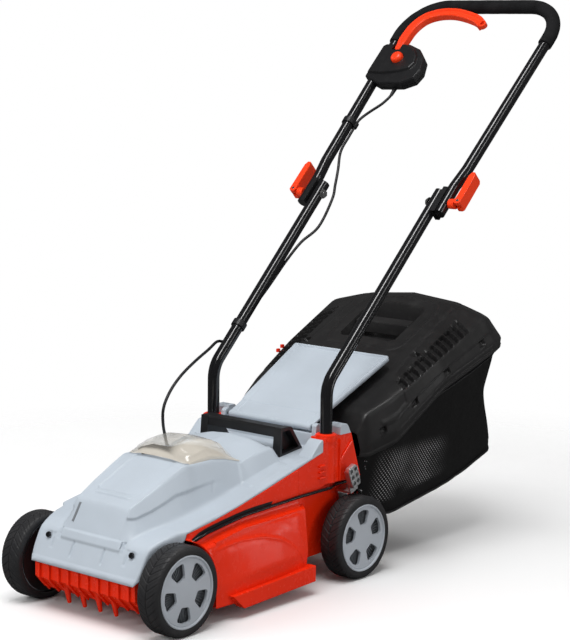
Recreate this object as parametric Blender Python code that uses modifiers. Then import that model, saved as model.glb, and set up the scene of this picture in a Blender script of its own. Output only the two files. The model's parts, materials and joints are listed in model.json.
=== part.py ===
"""A cordless rotary lawn mower with a rear grass box, at rest, in metres.

X runs to the mower's own left, Y to the rear and Z up. Stations below are measured from the
front axle; everything hangs from one empty that centres the machine over the world's origin.
"""

import math

import bmesh
import bpy
from mathutils import Matrix, Vector

# Wheels and height setting
WHEEL_RADIUS = 0.075
TYRE_WIDTH = 0.0445
HUB_RADIUS = 0.061
WHEELBASE = 0.459
ARM_ROOM = 0.0165
STUB_RADIUS = 0.0055
JOURNAL_RADIUS = 0.005
CRANK_RADIUS = 0.042
HEIGHT_TRAVEL = 0.032
ARM_REACH = 0.080
ARM_LEAN = math.radians(11)
LEVER_REACH = 0.137
ROD_RADIUS = 0.003

# Deck
WALL = 0.0035
BODY_HALF = 0.123
NOSE_HALF = BODY_HALF - 0.005
TRACK_HALF = BODY_HALF + ARM_ROOM + TYRE_WIDTH
SIDE_HALF = 0.148
BULGE_HALF = 0.172
BULGE_FRONT = 0.086
BULGE_REAR = 0.318
CEILING = 0.100
CEILING_PLATE = 0.004
REAR_FACE_Y = 0.462
REAR_FACE_Z = 0.260
REAR_FACE_SLOPE = 0.336
CHUTE_HALF = 0.100
STEP_HALF = 0.184

# Drive
BLADE_Y = 0.212
BLADE_LENGTH = 0.310
BLADE_WIDTH = 0.042
BLADE_THICKNESS = 0.003
BLADE_Z = 0.046
MOTOR_RADIUS = 0.043
MOTOR_HEIGHT = 0.074
SHAFT_RADIUS = 0.005

# Cover and battery
COVER_WALL = 0.003
BAY_HALF = 0.070
BAY_FRONT = 0.124
BAY_REAR = 0.228
PACK_HALF = 0.036
PACK_HEIGHT = 0.062
LID_FRONT = 0.116
LID_REAR = 0.236
LID_CROWN = 0.027

# Handle
SOCKET_X = 0.135
SOCKET_Y = 0.406
SOCKET_FLOOR = 0.2045
COLUMN_TOP = 0.264
TUBE_RADIUS = 0.011
TUBE_WALL = 0.0015
BEND_Z = 0.354
JOINT_Y = 0.710
JOINT_Z = 0.658
JOINT_LOWER_X = 0.1395
CRADLE_WEB = 0.0016
UPPER_ANGLE = math.radians(44.7)
HANDLE_LENGTH = 0.520
SWITCH_REACH = 0.240
HANDLE_TOP_HALF = 0.184
CORNER_RADIUS = 0.085
GRIP_RADIUS = 0.014

# Rear flap and grass box
FLAP_Y = 0.412
FLAP_Z = 0.271
FLAP_LENGTH = 0.230
FLAP_ANGLE = math.radians(25.8)
FLAP_HALF = 0.115
BOX_WALL = 0.0025
BAG_WALL = 0.002
MOUTH_HALF = BODY_HALF + 0.0005

# Cable
CABLE_RADIUS = 0.00275

# Clearances
TOUCH = 0.0003
RUNNING = 0.0005

WORLD_X = Vector((1, 0, 0))
ALONG = Vector((0, math.cos(UPPER_ANGLE), math.sin(UPPER_ANGLE)))
ABOVE = Vector((0, -math.sin(UPPER_ANGLE), math.cos(UPPER_ANGLE)))
JOINT = Vector((0, JOINT_Y, JOINT_Z))
HALF_THROW = math.asin(HEIGHT_TRAVEL / 2 / CRANK_RADIUS)
CRANK_Y = CRANK_RADIUS * math.cos(HALF_THROW)
JOURNAL_Z = WHEEL_RADIUS - HEIGHT_TRAVEL / 2
FRONT_JOURNAL = Vector((0, CRANK_Y, JOURNAL_Z))
REAR_JOURNAL = Vector((0, WHEELBASE + CRANK_Y, JOURNAL_Z))
LINK_ARM = Vector((0, math.sin(ARM_LEAN), math.cos(ARM_LEAN))) * ARM_REACH
TYRE_INNER = TRACK_HALF - TYRE_WIDTH
UPPER_JOINT_X = JOINT_LOWER_X + 2 * TUBE_RADIUS + CRADLE_WEB + 2 * TOUCH
GRIP_REAR = (JOINT + ALONG * HANDLE_LENGTH).y + GRIP_RADIUS
CENTRE_Y = (GRIP_REAR - WHEEL_RADIUS) / 2


# Scene and materials


def clear_scene():
    for old in list(bpy.data.objects):
        bpy.data.objects.remove(old)


def collection(name):
    made = bpy.data.collections.new(name)
    bpy.context.scene.collection.children.link(made)
    return made


def material(name, colour, roughness, metallic=0.0, alpha=1.0):
    made = bpy.data.materials.new(name)
    made.use_nodes = True
    shader = made.node_tree.nodes["Principled BSDF"]
    shader.inputs["Base Color"].default_value = (*colour, 1)
    shader.inputs["Roughness"].default_value = roughness
    shader.inputs["Metallic"].default_value = metallic
    shader.inputs["Alpha"].default_value = alpha
    return made


clear_scene()
MOWER = collection("cordless_lawn_mower")
FRAME = bpy.data.objects.new("mower_frame", None)
FRAME.location = (0, -CENTRE_Y, 0)
MOWER.objects.link(FRAME)

RED = material("red_plastic", (0.78, 0.035, 0.01), 0.3)
GREY = material("grey_plastic", (0.52, 0.57, 0.62), 0.4)
BLACK = material("black_plastic", (0.018, 0.018, 0.02), 0.5)
ORANGE = material("orange_plastic", (0.9, 0.07, 0.01), 0.35)
TYRE = material("tyre_rubber", (0.03, 0.03, 0.032), 0.7)
FOAM = material("foam", (0.02, 0.02, 0.021), 0.85)
PAINTED = material("black_paint", (0.01, 0.01, 0.011), 0.15)
STEEL = material("steel", (0.5, 0.5, 0.5), 0.3, 1.0)
FABRIC = material("bag_fabric", (0.02, 0.02, 0.022), 0.9)
CLEAR = material("clear_lid", (0.85, 0.8, 0.68), 0.08, 0.0, 0.35)
BOARD = material("circuit_board", (0.02, 0.15, 0.06), 0.5)


# Shapes, as bmeshes


def block(low, high):
    """A box between two corners."""
    shape = bmesh.new()
    bmesh.ops.create_cube(shape, size=1)
    low, high = Vector(low), Vector(high)
    size = high - low
    bmesh.ops.scale(shape, verts=shape.verts, vec=size)
    bmesh.ops.translate(shape, verts=shape.verts, vec=(low + high) / 2)
    return shape


def rod(start, end, radius, end_radius=None, sides=24):
    """A cylinder or cone between two points."""
    start, end = Vector(start), Vector(end)
    along = end - start
    shape = bmesh.new()
    bmesh.ops.create_cone(
        shape,
        cap_ends=True,
        segments=sides,
        radius1=radius,
        radius2=radius if end_radius is None else end_radius,
        depth=along.length,
    )
    turn = along.to_track_quat("Z", "Y").to_matrix().to_4x4()
    place = Matrix.Translation((start + end) / 2) @ turn
    bmesh.ops.transform(shape, matrix=place, verts=shape.verts)
    return shape


def loft(rings):
    """A closed solid through rings of as many points each."""
    shape = bmesh.new()
    rows = [[shape.verts.new(point) for point in ring] for ring in rings]
    count = len(rows[0])
    for near, far in zip(rows, rows[1:]):
        for i in range(count):
            j = (i + 1) % count
            shape.faces.new((near[i], near[j], far[j], far[i]))
    shape.faces.new(rows[0])
    shape.faces.new(rows[-1])
    bmesh.ops.recalc_face_normals(shape, faces=shape.faces)
    return shape


def prism(outline, low_x, high_x):
    """An outline of (y, z) points, drawn out along X."""
    return loft([[(x, y, z) for y, z in outline] for x in (low_x, high_x)])


def turned(profile, steps=48, arc=2 * math.pi):
    """A closed ring of (radius, height) points, turned about Z."""
    shape = bmesh.new()
    points = [shape.verts.new((r, 0, z)) for r, z in profile]
    edges = [shape.edges.new((a, b)) for a, b in zip(points, points[1:] + points[:1])]
    bmesh.ops.spin(
        shape, geom=points + edges, axis=(0, 0, 1), cent=(0, 0, 0), steps=steps, angle=arc,
        use_merge=True,
    )
    bmesh.ops.remove_doubles(shape, verts=shape.verts, dist=1e-6)
    bmesh.ops.recalc_face_normals(shape, faces=shape.faces)
    return shape


def placed(shape, at=(0, 0, 0), turn=None):
    place = Matrix.Translation(at) @ (turn or Matrix.Identity(4))
    bmesh.ops.transform(shape, matrix=place, verts=shape.verts)
    return shape


def along_x(side=1):
    """The turn that lays Z along X, or along -X."""
    return Matrix.Rotation(side * math.pi / 2, 4, "Y")


def rounded(points, radius, steps=6):
    """The path through the points with its corners turned as arcs."""
    points = [Vector(point) for point in points]
    path = [points[0]]
    for before, corner, after in zip(points, points[1:], points[2:]):
        back, on = (before - corner).normalized(), (after - corner).normalized()
        half = back.angle(on) / 2
        centre = corner + (back + on).normalized() * radius / math.sin(half)
        reach = radius / math.tan(half)
        first = (corner + back * reach - centre).normalized()
        last = (corner + on * reach - centre).normalized()
        path += [centre + first.slerp(last, i / steps) * radius for i in range(steps + 1)]
    return path + [points[-1]]


def smooth(points, spacing):
    """Points about a spacing apart on a Catmull-Rom curve through the points."""
    points = [Vector(point) for point in points]
    points = [2 * points[0] - points[1]] + points + [2 * points[-1] - points[-2]]
    path = [points[1]]
    for a, b, c, d in zip(points, points[1:], points[2:], points[3:]):
        count = max(1, round((c - b).length / spacing))
        for i in range(1, count + 1):
            t = i / count
            path.append(
                0.5 * (2 * b + (c - a) * t + (2 * a - 5 * b + 4 * c - d) * t**2
                       + (3 * b - a - 3 * c + d) * t**3)
            )
    return path


def curve_of(name, path, radius, resolution):
    data = bpy.data.curves.new(name, "CURVE")
    data.dimensions = "3D"
    data.bevel_depth = radius
    data.bevel_resolution = resolution
    data.use_fill_caps = True
    spline = data.splines.new("POLY")
    spline.points.add(len(path) - 1)
    for point, place in zip(spline.points, path):
        point.co = (*place, 1)
    return bpy.data.objects.new(name, data)


def piped(path, radius, resolution=4):
    """A tube along a path, as a bmesh with its caps welded on."""
    made = curve_of("pipe", path, radius, resolution)
    MOWER.objects.link(made)
    bpy.context.view_layer.update()
    graph = bpy.context.evaluated_depsgraph_get()
    mesh = bpy.data.meshes.new_from_object(made.evaluated_get(graph))
    shape = bmesh.new()
    shape.from_mesh(mesh)
    bmesh.ops.remove_doubles(shape, verts=shape.verts, dist=1e-6)
    bmesh.ops.recalc_face_normals(shape, faces=shape.faces)
    bpy.data.objects.remove(made)
    bpy.data.meshes.remove(mesh)
    return shape


def as_object(shape):
    mesh = bpy.data.meshes.new("shape")
    shape.to_mesh(mesh)
    shape.free()
    made = bpy.data.objects.new("shape", mesh)
    MOWER.objects.link(made)
    return made


def combined(shape, tools, operation):
    for solid in (shape, *tools):
        bmesh.ops.triangulate(solid, faces=solid.faces)
    base = as_object(shape)
    helpers = [as_object(tool) for tool in tools]
    for helper in helpers:
        change = base.modifiers.new("change", "BOOLEAN")
        change.operation = operation
        change.object = helper
    bpy.context.view_layer.update()
    graph = bpy.context.evaluated_depsgraph_get()
    mesh = bpy.data.meshes.new_from_object(base.evaluated_get(graph))
    result = bmesh.new()
    result.from_mesh(mesh)
    bmesh.ops.remove_doubles(result, verts=result.verts, dist=1e-6)
    bmesh.ops.dissolve_degenerate(result, edges=result.edges, dist=1e-6)
    for used in [base, *helpers]:
        data = used.data
        bpy.data.objects.remove(used)
        bpy.data.meshes.remove(data)
    bpy.data.meshes.remove(mesh)
    return result


def cut(shape, *tools):
    return combined(shape, tools, "DIFFERENCE")


def join(shape, *tools):
    return combined(shape, tools, "UNION")


def piece(name, shape, finish, pivot=(0, 0, 0), bevel=0.0):
    """A finished sub-part, its origin on its pivot."""
    mesh = bpy.data.meshes.new(name)
    bmesh.ops.translate(shape, verts=shape.verts, vec=-Vector(pivot))
    shape.to_mesh(mesh)
    shape.free()
    mesh.materials.clear()
    mesh.materials.append(finish)
    mesh.shade_smooth()
    mesh.set_sharp_from_angle(angle=math.radians(35))
    made = bpy.data.objects.new(name, mesh)
    made.location = pivot
    made.parent = FRAME
    MOWER.objects.link(made)
    if bevel:
        edge = made.modifiers.new("edge", "BEVEL")
        edge.width = bevel
        edge.segments = 1
        edge.angle_limit = math.radians(50)
    return made


# Wheels


def tyre_shape():
    inner, outer = HUB_RADIUS + TOUCH, WHEEL_RADIUS
    half, crown = TYRE_WIDTH / 2, 0.006
    profile = [
        (inner, half - 0.0005), (outer - crown, half - 0.0005), (outer, half - crown),
        (outer, -half + crown), (outer - crown, -half), (inner, -half),
    ]
    return turned(profile)


def hub_shape():
    """A dished wheel disc with five windows and a boss over its stub."""
    half = TYRE_WIDTH / 2
    bore, boss, rim = STUB_RADIUS + RUNNING, 0.013, HUB_RADIUS - 0.004
    face, floor = half, half - 0.005
    profile = [
        (bore, -half + 0.003), (boss, -half + 0.003), (boss, floor), (rim, floor),
        (rim, -half), (HUB_RADIUS, -half), (HUB_RADIUS, face), (0.002, face),
        (0.002, face - 0.003), (bore, face - 0.003),
    ]
    disc = turned(profile, 40)
    core = rod((0, 0, face - 0.003), (0, 0, face), 0.004, sides=12)
    disc = join(disc, core)
    windows = []
    for i in range(5):
        outline = [(0.024, -0.0065), (0.049, -0.0135), (0.053, 0), (0.049, 0.0135), (0.024, 0.0065)]
        window = loft([[(x, y, z) for x, y in outline] for z in (floor - 0.01, face + 0.01)])
        turn = Matrix.Rotation(math.radians(90 + 72 * i), 4, "Z")
        windows.append(placed(window, turn=turn))
    return cut(disc, *windows)


def wheels():
    for end, y in (("front", 0), ("rear", WHEELBASE)):
        for side, sign in (("left", 1), ("right", -1)):
            middle = Vector((sign * (TRACK_HALF - TYRE_WIDTH / 2), y, WHEEL_RADIUS))
            spoke = math.radians(180 if end == "front" else 0)
            turn = along_x(sign) @ Matrix.Rotation(spoke, 4, "Z")
            piece(f"tyre_{end}_{side}", placed(tyre_shape(), middle, turn), TYRE, middle)
            piece(f"hub_{end}_{side}", placed(hub_shape(), middle, turn), GREY, middle)


# Height setting


def crank_shape(journal, wheel_y):
    """A journal across the deck, an arm at each end and a stub for each wheel."""
    arm_in, arm_out = BODY_HALF + 0.0085, TYRE_INNER - 0.002
    stub_end = TRACK_HALF - 0.0045
    shape = rod((-arm_out, *journal.yz), (arm_out, *journal.yz), JOURNAL_RADIUS, sides=16)
    wheel = Vector((0, wheel_y, WHEEL_RADIUS))
    reach = (wheel - journal).normalized()
    across = WORLD_X.cross(reach)
    tools = []
    for sign in (1, -1):
        corners = [
            journal - reach * 0.007 - across * 0.007, wheel + reach * 0.007 - across * 0.007,
            wheel + reach * 0.007 + across * 0.007, journal - reach * 0.007 + across * 0.007,
        ]
        tools.append(loft([[(sign * x, c.y, c.z) for c in corners] for x in (arm_in, arm_out)]))
        tools.append(rod((sign * (arm_in + 0.001), *wheel.yz), (sign * stub_end, *wheel.yz),
                         STUB_RADIUS, sides=16))
    return join(shape, *tools)


def arm_plate(journal, tip, inset=0.0):
    """The flat arm from a journal to the pin of the linkage rod."""
    reach = (tip - journal).normalized()
    across = WORLD_X.cross(reach) * 0.008
    corners = [journal - reach * 0.008 - across, tip + reach * 0.007 - across * 0.8,
               tip + reach * 0.007 + across * 0.8, journal - reach * 0.008 + across]
    low, high = BODY_HALF + 0.0025 + inset, BODY_HALF + 0.0055 - inset
    plate = loft([[(x, c.y, c.z) for c in corners] for x in (low, high)])
    bore = rod((low - 0.01, *journal.yz), (high + 0.01, *journal.yz),
               JOURNAL_RADIUS + TOUCH, sides=16)
    pin = rod((low - 0.01, *tip.yz), (high + 0.01, *tip.yz), ROD_RADIUS + RUNNING, sides=12)
    return plate, [bore, pin]


def height_setting():
    piece("front_axle", crank_shape(FRONT_JOURNAL, 0), STEEL, FRONT_JOURNAL)
    piece("rear_axle", crank_shape(REAR_JOURNAL, WHEELBASE), STEEL, REAR_JOURNAL)
    front_pin, rear_pin = FRONT_JOURNAL + LINK_ARM, REAR_JOURNAL + LINK_ARM
    plate, bores = arm_plate(FRONT_JOURNAL, front_pin)
    piece("front_link_arm", cut(plate, *bores), STEEL, FRONT_JOURNAL)

    lean = math.radians(21)
    up = Vector((0, -math.sin(lean), math.cos(lean)))
    aside = WORLD_X.cross(up) * 0.011
    low, high = BODY_HALF + 0.0025, BODY_HALF + 0.0055
    out_low, out_high = SIDE_HALF + 0.0075, SIDE_HALF + 0.0105
    foot, knee, tip = REAR_JOURNAL - up * 0.004, REAR_JOURNAL + up * 0.106, REAR_JOURNAL + up * 0.150
    inner = loft([[(x, *(p + s * aside).yz) for p, s in ((foot, -1), (knee, -1), (knee, 1), (foot, 1))]
                  for x in (low, high)])
    shelf_low, shelf_high = REAR_JOURNAL + up * 0.105, REAR_JOURNAL + up * 0.109
    shelf = loft([[(x, *(p + s * aside).yz)
                   for p, s in ((shelf_low, -0.99), (shelf_high, -0.99), (shelf_high, 0.99), (shelf_low, 0.99))]
                  for x in (low + 0.0003, out_high - 0.0003)])
    outer = loft([[(x, *(p + s * aside).yz)
                   for p, s in ((shelf_low + up * 0.0006, -0.98), (tip, -0.98), (tip, 0.98),
                                (shelf_low + up * 0.0006, 0.98))]
                  for x in (out_low, out_high)])
    plate, bores = arm_plate(REAR_JOURNAL, rear_pin, 0.0002)
    lever = join(inner, shelf, outer, plate)
    piece("height_lever", cut(lever, *bores), STEEL, REAR_JOURNAL)

    grip_low, grip_high = REAR_JOURNAL + up * (LEVER_REACH - 0.021), REAR_JOURNAL + up * (LEVER_REACH + 0.021)
    wide = WORLD_X.cross(up) * 0.0135
    knob = loft([[(x, *(p + s * wide).yz) for p, s in ((grip_low, -0.8), (grip_high, -1), (grip_high, 1), (grip_low, 0.8))]
                 for x in (out_high + TOUCH, out_high + TOUCH + 0.010)])
    holes = []
    for row in (-0.012, 0, 0.012):
        for side in (-0.0055, 0.0055):
            spot = REAR_JOURNAL + up * (LEVER_REACH + row) + WORLD_X.cross(up) * side
            holes.append(rod((out_high - 0.01, *spot.yz), (out_high + 0.03, *spot.yz), 0.0036, sides=8))
    piece("height_knob", cut(knob, *holes), STEEL, REAR_JOURNAL)

    link_x, run_x = BODY_HALF + 0.0100, SIDE_HALF + 0.0035
    route = [
        (low, *front_pin.yz), (link_x, *front_pin.yz), (link_x, front_pin.y + 0.004, front_pin.z + 0.002),
        (run_x, BULGE_FRONT - 0.008, 0.152), (run_x, 0.173, 0.165), (run_x, BULGE_REAR, 0.171),
        (run_x, 0.400, 0.172), (link_x, 0.436, 0.1695), (link_x, 0.4715, 0.1695),
        (link_x, rear_pin.y - 0.006, rear_pin.z + 0.006),
        (link_x, *rear_pin.yz), (low, *rear_pin.yz),
    ]
    piece("linkage_rod", piped(route, ROD_RADIUS, 2), PAINTED, rear_pin)


# Deck

SEAM = [(-0.060, 0.084), (0.0, 0.150), (0.031, 0.158), (0.104, 0.169), (0.161, 0.181), (0.242, 0.201),
        (0.340, 0.227), (0.385, 0.239)]


def between(table, y):
    """Row of the table at y, worked out on straight lines between its rows."""
    if y <= table[0][0]:
        return table[0][1:]
    for near, far in zip(table, table[1:]):
        if y <= far[0]:
            t = (y - near[0]) / (far[0] - near[0])
            return tuple(a + (b - a) * t for a, b in zip(near[1:], far[1:]))
    return table[-1][1:]


def seam(y):
    return between(SEAM, y)[0]


# Station, then half widths of the lower edge, the belly, the shelf's edge and the upper wall,
# then heights of the lower edge, the belly, the shelf and the top
TOWER_TOP, TOWER_FRONT = COLUMN_TOP - 0.002, 0.383
DECK = [
    (-0.054, NOSE_HALF, NOSE_HALF, NOSE_HALF, NOSE_HALF, 0.057, 0.062, 0.073, seam(-0.060) - TOUCH),
    (-0.030, BODY_HALF, BODY_HALF, BODY_HALF, BODY_HALF, 0.033, 0.060, 0.095, seam(-0.030) - TOUCH),
    (0.0, BODY_HALF, BODY_HALF, BODY_HALF, BODY_HALF, 0.030, 0.060, 0.120, seam(0) - TOUCH),
    (BULGE_FRONT - 0.008, BODY_HALF, BODY_HALF, BODY_HALF, BODY_HALF, 0.028, 0.066, 0.130,
     seam(BULGE_FRONT - 0.008) - TOUCH),
    (BULGE_FRONT, BULGE_HALF - 0.006, BULGE_HALF, BULGE_HALF - 0.006, SIDE_HALF, 0.027, 0.070, 0.137,
     seam(BULGE_FRONT) - TOUCH),
    (0.161, BULGE_HALF - 0.004, BULGE_HALF + 0.001, BULGE_HALF - 0.008, SIDE_HALF, 0.026, 0.072, 0.148,
     seam(0.161) - TOUCH),
    (0.242, BULGE_HALF - 0.004, BULGE_HALF + 0.001, BULGE_HALF - 0.008, SIDE_HALF, 0.032, 0.074, 0.149,
     seam(0.242) - TOUCH),
    (BULGE_REAR, BULGE_HALF - 0.006, BULGE_HALF - 0.002, BULGE_HALF - 0.010, SIDE_HALF, 0.042, 0.076, 0.151,
     seam(BULGE_REAR) - TOUCH),
    (BULGE_REAR + 0.008, BODY_HALF, BODY_HALF, BODY_HALF, SIDE_HALF, 0.044, 0.076, 0.154,
     seam(BULGE_REAR + 0.008) - TOUCH),
    (BULGE_REAR + 0.016, BODY_HALF, BODY_HALF, BODY_HALF, SIDE_HALF, 0.0442, 0.076, 0.1554,
     seam(BULGE_REAR + 0.016) - TOUCH),
    (TOWER_FRONT, BODY_HALF, BODY_HALF, BODY_HALF, SIDE_HALF, 0.046, 0.076, 0.164, seam(TOWER_FRONT) - TOUCH),
    (0.388, BODY_HALF, BODY_HALF, BODY_HALF, SIDE_HALF, 0.046, 0.076, 0.166, TOWER_TOP),
    (0.560, BODY_HALF, BODY_HALF, BODY_HALF, SIDE_HALF, 0.050, 0.076, 0.166, TOWER_TOP),
]


# How far the upper wall's foot stands above the shelf's edge: low until the linkage rod has passed
OVERHANG = [(BULGE_REAR + 0.008, 0.002), (BULGE_REAR + 0.016, 0.013)]


def both_sides(half):
    """A ring from its +X half, listed from the bottom up."""
    return half + [(-x, y, z) for x, y, z in reversed(half)]


def deck_hull():
    rings = []
    for y in sorted({row[0] for row in DECK} | {y for y, _ in SEAM if DECK[0][0] < y < TOWER_FRONT}):
        low, belly, shelf, upper, low_z, belly_z, shelf_z, top_z = between(DECK, y)
        if y <= TOWER_FRONT:
            top_z = seam(y) - TOUCH
        half = [(low, y, low_z), (belly, y, belly_z), (shelf, y, shelf_z),
                (upper, y, shelf_z + between(OVERHANG, y)[0]), (upper, y, top_z)]
        rings.append(both_sides(half))
    return loft(rings)


def inner_widths(y):
    """Half widths of the deck's inside, one wall in from whichever side is nearest."""
    rows = [between(DECK, y + shift) for shift in (-WALL, 0, WALL)]
    return [min(row[i] for row in rows) - WALL for i in range(4)]


def stations(low, high):
    inside = {y + shift for y, *_ in DECK for shift in (-WALL, WALL)}
    return sorted({low, high} | {y for y in inside if low < y < high})


def roof_half(y, z):
    """Half width of the deck's inside at a height between its belly and its shelf."""
    _, belly, shelf, _ = inner_widths(y)
    belly_z, shelf_z = between(DECK, y)[5:7]
    share = (z - belly_z) / (shelf_z - belly_z)
    return belly + (shelf - belly) * min(max(share, 0), 1)


def deck_chamber(low, high):
    rings = []
    for y in stations(low, high):
        edge, belly, _, _ = inner_widths(y)
        belly_z = between(DECK, y)[5]
        half = [(edge, y, -0.02), (belly, y, belly_z), (roof_half(y, CEILING), y, CEILING)]
        rings.append(both_sides(half))
    return loft(rings)


def deck_pocket(low, high):
    """The space above the ceiling plate, open to the cover."""
    floor = CEILING + CEILING_PLATE
    rings = []
    for y in stations(low, high):
        _, _, shelf, upper = inner_widths(y)
        shelf_z, top_z = between(DECK, y)[6:8]
        rise = between(OVERHANG, y + WALL)[0]
        shelf_z = max(shelf_z - WALL, floor + 0.002) if y < BULGE_REAR + WALL else shelf_z + 0.001
        half = [(roof_half(y, floor), y, floor), (shelf, y, shelf_z), (upper, y, shelf_z + rise),
                (upper, y, max(top_z, shelf_z) + 0.03)]
        rings.append(both_sides(half))
    return loft(rings)


def rear_face(z):
    return REAR_FACE_Y + (REAR_FACE_Z - z) * REAR_FACE_SLOPE


def deck_shape():
    hull = deck_hull()
    wall_y = FRONT_JOURNAL.y + JOURNAL_RADIUS + 0.0015
    beam_y = REAR_JOURNAL.y - 0.011
    roof, foot = 0.224, 0.345
    floor = CEILING + CEILING_PLATE
    slope = (roof - CEILING) / 0.100
    lift = CEILING_PLATE * math.hypot(1, slope)
    chute = prism([(foot - 0.005, 0.077), (foot - 0.005, CEILING - 0.001), (foot, CEILING),
                   (foot + 0.100, roof), (0.60, roof), (0.60, 0.077)], -CHUTE_HALF, CHUTE_HALF)
    ramp_y = foot + (CEILING_PLATE - lift) / slope
    rear_y = 0.440
    above = prism([(0.336, floor), (ramp_y, floor), (rear_y, floor + (rear_y - ramp_y) * slope),
                   (rear_y, 0.32), (0.336, 0.32)], -BODY_HALF + 0.015, BODY_HALF - 0.015)
    saddle = block((-FLAP_HALF - 0.0008, 0.383, 0.230), (FLAP_HALF + 0.0008, 0.52, 0.32))
    behind = prism([(rear_face(-0.03), -0.03), (rear_face(0.33), 0.33), (0.62, 0.33), (0.62, -0.03)],
                   -0.3, 0.3)
    cover_room = block((-BODY_HALF + WALL, 0.3740, 0.229), (BODY_HALF - WALL, 0.3835, 0.32))
    rod_room = block((BODY_HALF + 0.0005, 0.390, 0.150), (0.16, 0.60, 0.1795))
    shell = cut(hull, deck_chamber(-0.026, wall_y), deck_chamber(wall_y + 0.004, beam_y),
                deck_pocket(-0.045, 0.338), chute, above, saddle, cover_room, behind,
                rod_room)

    additions = []
    for sign in (1, -1):
        socket = Vector((sign * SOCKET_X, SOCKET_Y, 0))
        additions.append(rod(socket + Vector((0, 0, 0.180)), socket + Vector((0, 0, COLUMN_TOP)), 0.0172))
        additions.append(rod(socket + Vector((0, 0, COLUMN_TOP - 0.009)),
                             socket + Vector((0, 0, COLUMN_TOP + 0.0015)), 0.0192))
        step = [(0.111, 0.043), (0.138, 0.018), (0.323, 0.025), (0.323, 0.053)]
        additions.append(prism(step, sign * (BULGE_HALF - 0.006), sign * STEP_HALF))
    for i in range(4):
        x = (i - 1.5) * 0.0372
        additions.append(rod((x, -0.044, 0.062), (x, -0.034, 0.018), 0.0070, 0.0034, sides=10))
    for i in range(10):
        x = (i / 4.5 - 1) * (NOSE_HALF - 0.01225)
        rib = [(-0.050, 0.081), (-0.058, 0.081), (-0.058, 0.057), (-0.034, 0.031), (-0.028, 0.040)]
        additions.append(prism(rib, x - 0.002, x + 0.002))
    shell = join(shell, *additions)

    bores = [
        rod((-0.2, *FRONT_JOURNAL.yz), (0.2, *FRONT_JOURNAL.yz), JOURNAL_RADIUS + TOUCH),
        rod((-0.2, *REAR_JOURNAL.yz), (0.2, *REAR_JOURNAL.yz), JOURNAL_RADIUS + TOUCH),
        rod((0, BLADE_Y, CEILING - 0.01), (0, BLADE_Y, CEILING + 0.02), 0.012),
    ]
    for sign in (1, -1):
        socket = Vector((sign * SOCKET_X, SOCKET_Y, 0))
        bores.append(rod(socket + Vector((0, 0, SOCKET_FLOOR)), socket + Vector((0, 0, 0.3)),
                         TUBE_RADIUS + 2 * TOUCH))
    return cut(shell, *bores)


# Cover

FLAT_FRONT, FLAT_FRONT_Z, FLAT_RISE, FLAT_CROWN = 0.322, 0.229, 0.1333, 0.0003
COVER_END = 0.382
HINGE_HOUSING = 0.400


def flat_z(y):
    """Height of the level stretch of the cover that carries the carry handle."""
    return FLAT_FRONT_Z + (y - FLAT_FRONT) * FLAT_RISE


# Station, half width of the edge, of the dome's foot and of its upper edge, then heights of the
# shoulder above the seam, of the foot, of the upper edge and of the crest
COVER = [
    (-0.060, NOSE_HALF + 0.001, 0.066, 0.060, 0.0875, 0.088, 0.0885, 0.0885),
    (-0.052, BODY_HALF + 0.003, 0.066, 0.060, 0.104, 0.1045, 0.105, 0.105),
    (-0.036, BODY_HALF + 0.005, 0.067, 0.062, 0.136, 0.137, 0.138, 0.138),
    (-0.028, BODY_HALF + 0.005, 0.068, 0.060, 0.143, 0.145, 0.155, 0.156),
    (-0.010, BODY_HALF + 0.005, 0.078, 0.059, 0.151, 0.153, 0.192, 0.193),
    (0.030, BODY_HALF + 0.005, 0.100, 0.064, 0.162, 0.163, 0.211, 0.213),
    (BULGE_FRONT - 0.008, BODY_HALF + 0.005, 0.102, 0.069, 0.170, 0.171, 0.234, 0.236),
    (BULGE_FRONT, SIDE_HALF, 0.102, 0.070, 0.171, 0.173, 0.237, 0.240),
    (0.112, SIDE_HALF, 0.102, 0.073, 0.175, 0.178, 0.249, 0.252),
    (0.161, SIDE_HALF, 0.103, 0.078, 0.185, 0.188, 0.248, 0.252),
    (LID_REAR, SIDE_HALF, 0.104, 0.086, 0.204, 0.207, 0.244, 0.250),
    (0.312, SIDE_HALF, 0.108, 0.093, 0.224, 0.226, 0.236, 0.241),
    (FLAT_FRONT, SIDE_HALF, 0.112, 0.100, 0.227, flat_z(FLAT_FRONT), flat_z(FLAT_FRONT) + FLAT_CROWN * 0.6,
     flat_z(FLAT_FRONT) + FLAT_CROWN),
    (COVER_END, SIDE_HALF, 0.112, 0.100, 0.242, flat_z(COVER_END), flat_z(COVER_END) + FLAT_CROWN * 0.6,
     flat_z(COVER_END) + FLAT_CROWN),
]


def cover_ring(y, inset=0.0, drop=0.0):
    """The cover's section; inset draws it in by a wall and drop lowers its open side."""
    rows = [between(COVER, y + shift) for shift in (-inset, 0, inset)]
    edge, foot, upper, shoulder_z, foot_z, upper_z, crest_z = [min(column) for column in zip(*rows)]
    lowest = seam(y) - drop
    half = [
        (edge - inset, y, lowest), (edge - inset, y, shoulder_z - inset),
        (foot - inset, y, foot_z - inset), (upper - inset, y, upper_z - inset),
        (upper * 0.5, y, upper_z + (crest_z - upper_z) * 0.75 - inset), (0, y, crest_z - inset),
    ]
    if not inset:
        under = min(lowest - 0.0002, crest_z - 0.0045)
        half = [(0.105, y, under), (0.107, y, lowest - 0.0001)] + half
    return half + [(-x, py, z) for x, py, z in reversed(half[:-1])]


def cover_solid(low, high, inset=0.0, drop=0.0):
    ys = {y for y, *_ in COVER} | {y for y, _ in SEAM}
    if inset:
        ys = {y + shift for y in ys for shift in (-inset, inset)}
    ys = sorted({low, high} | {y for y in ys if low < y < high})
    return loft([cover_ring(y, inset, drop) for y in ys])


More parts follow.
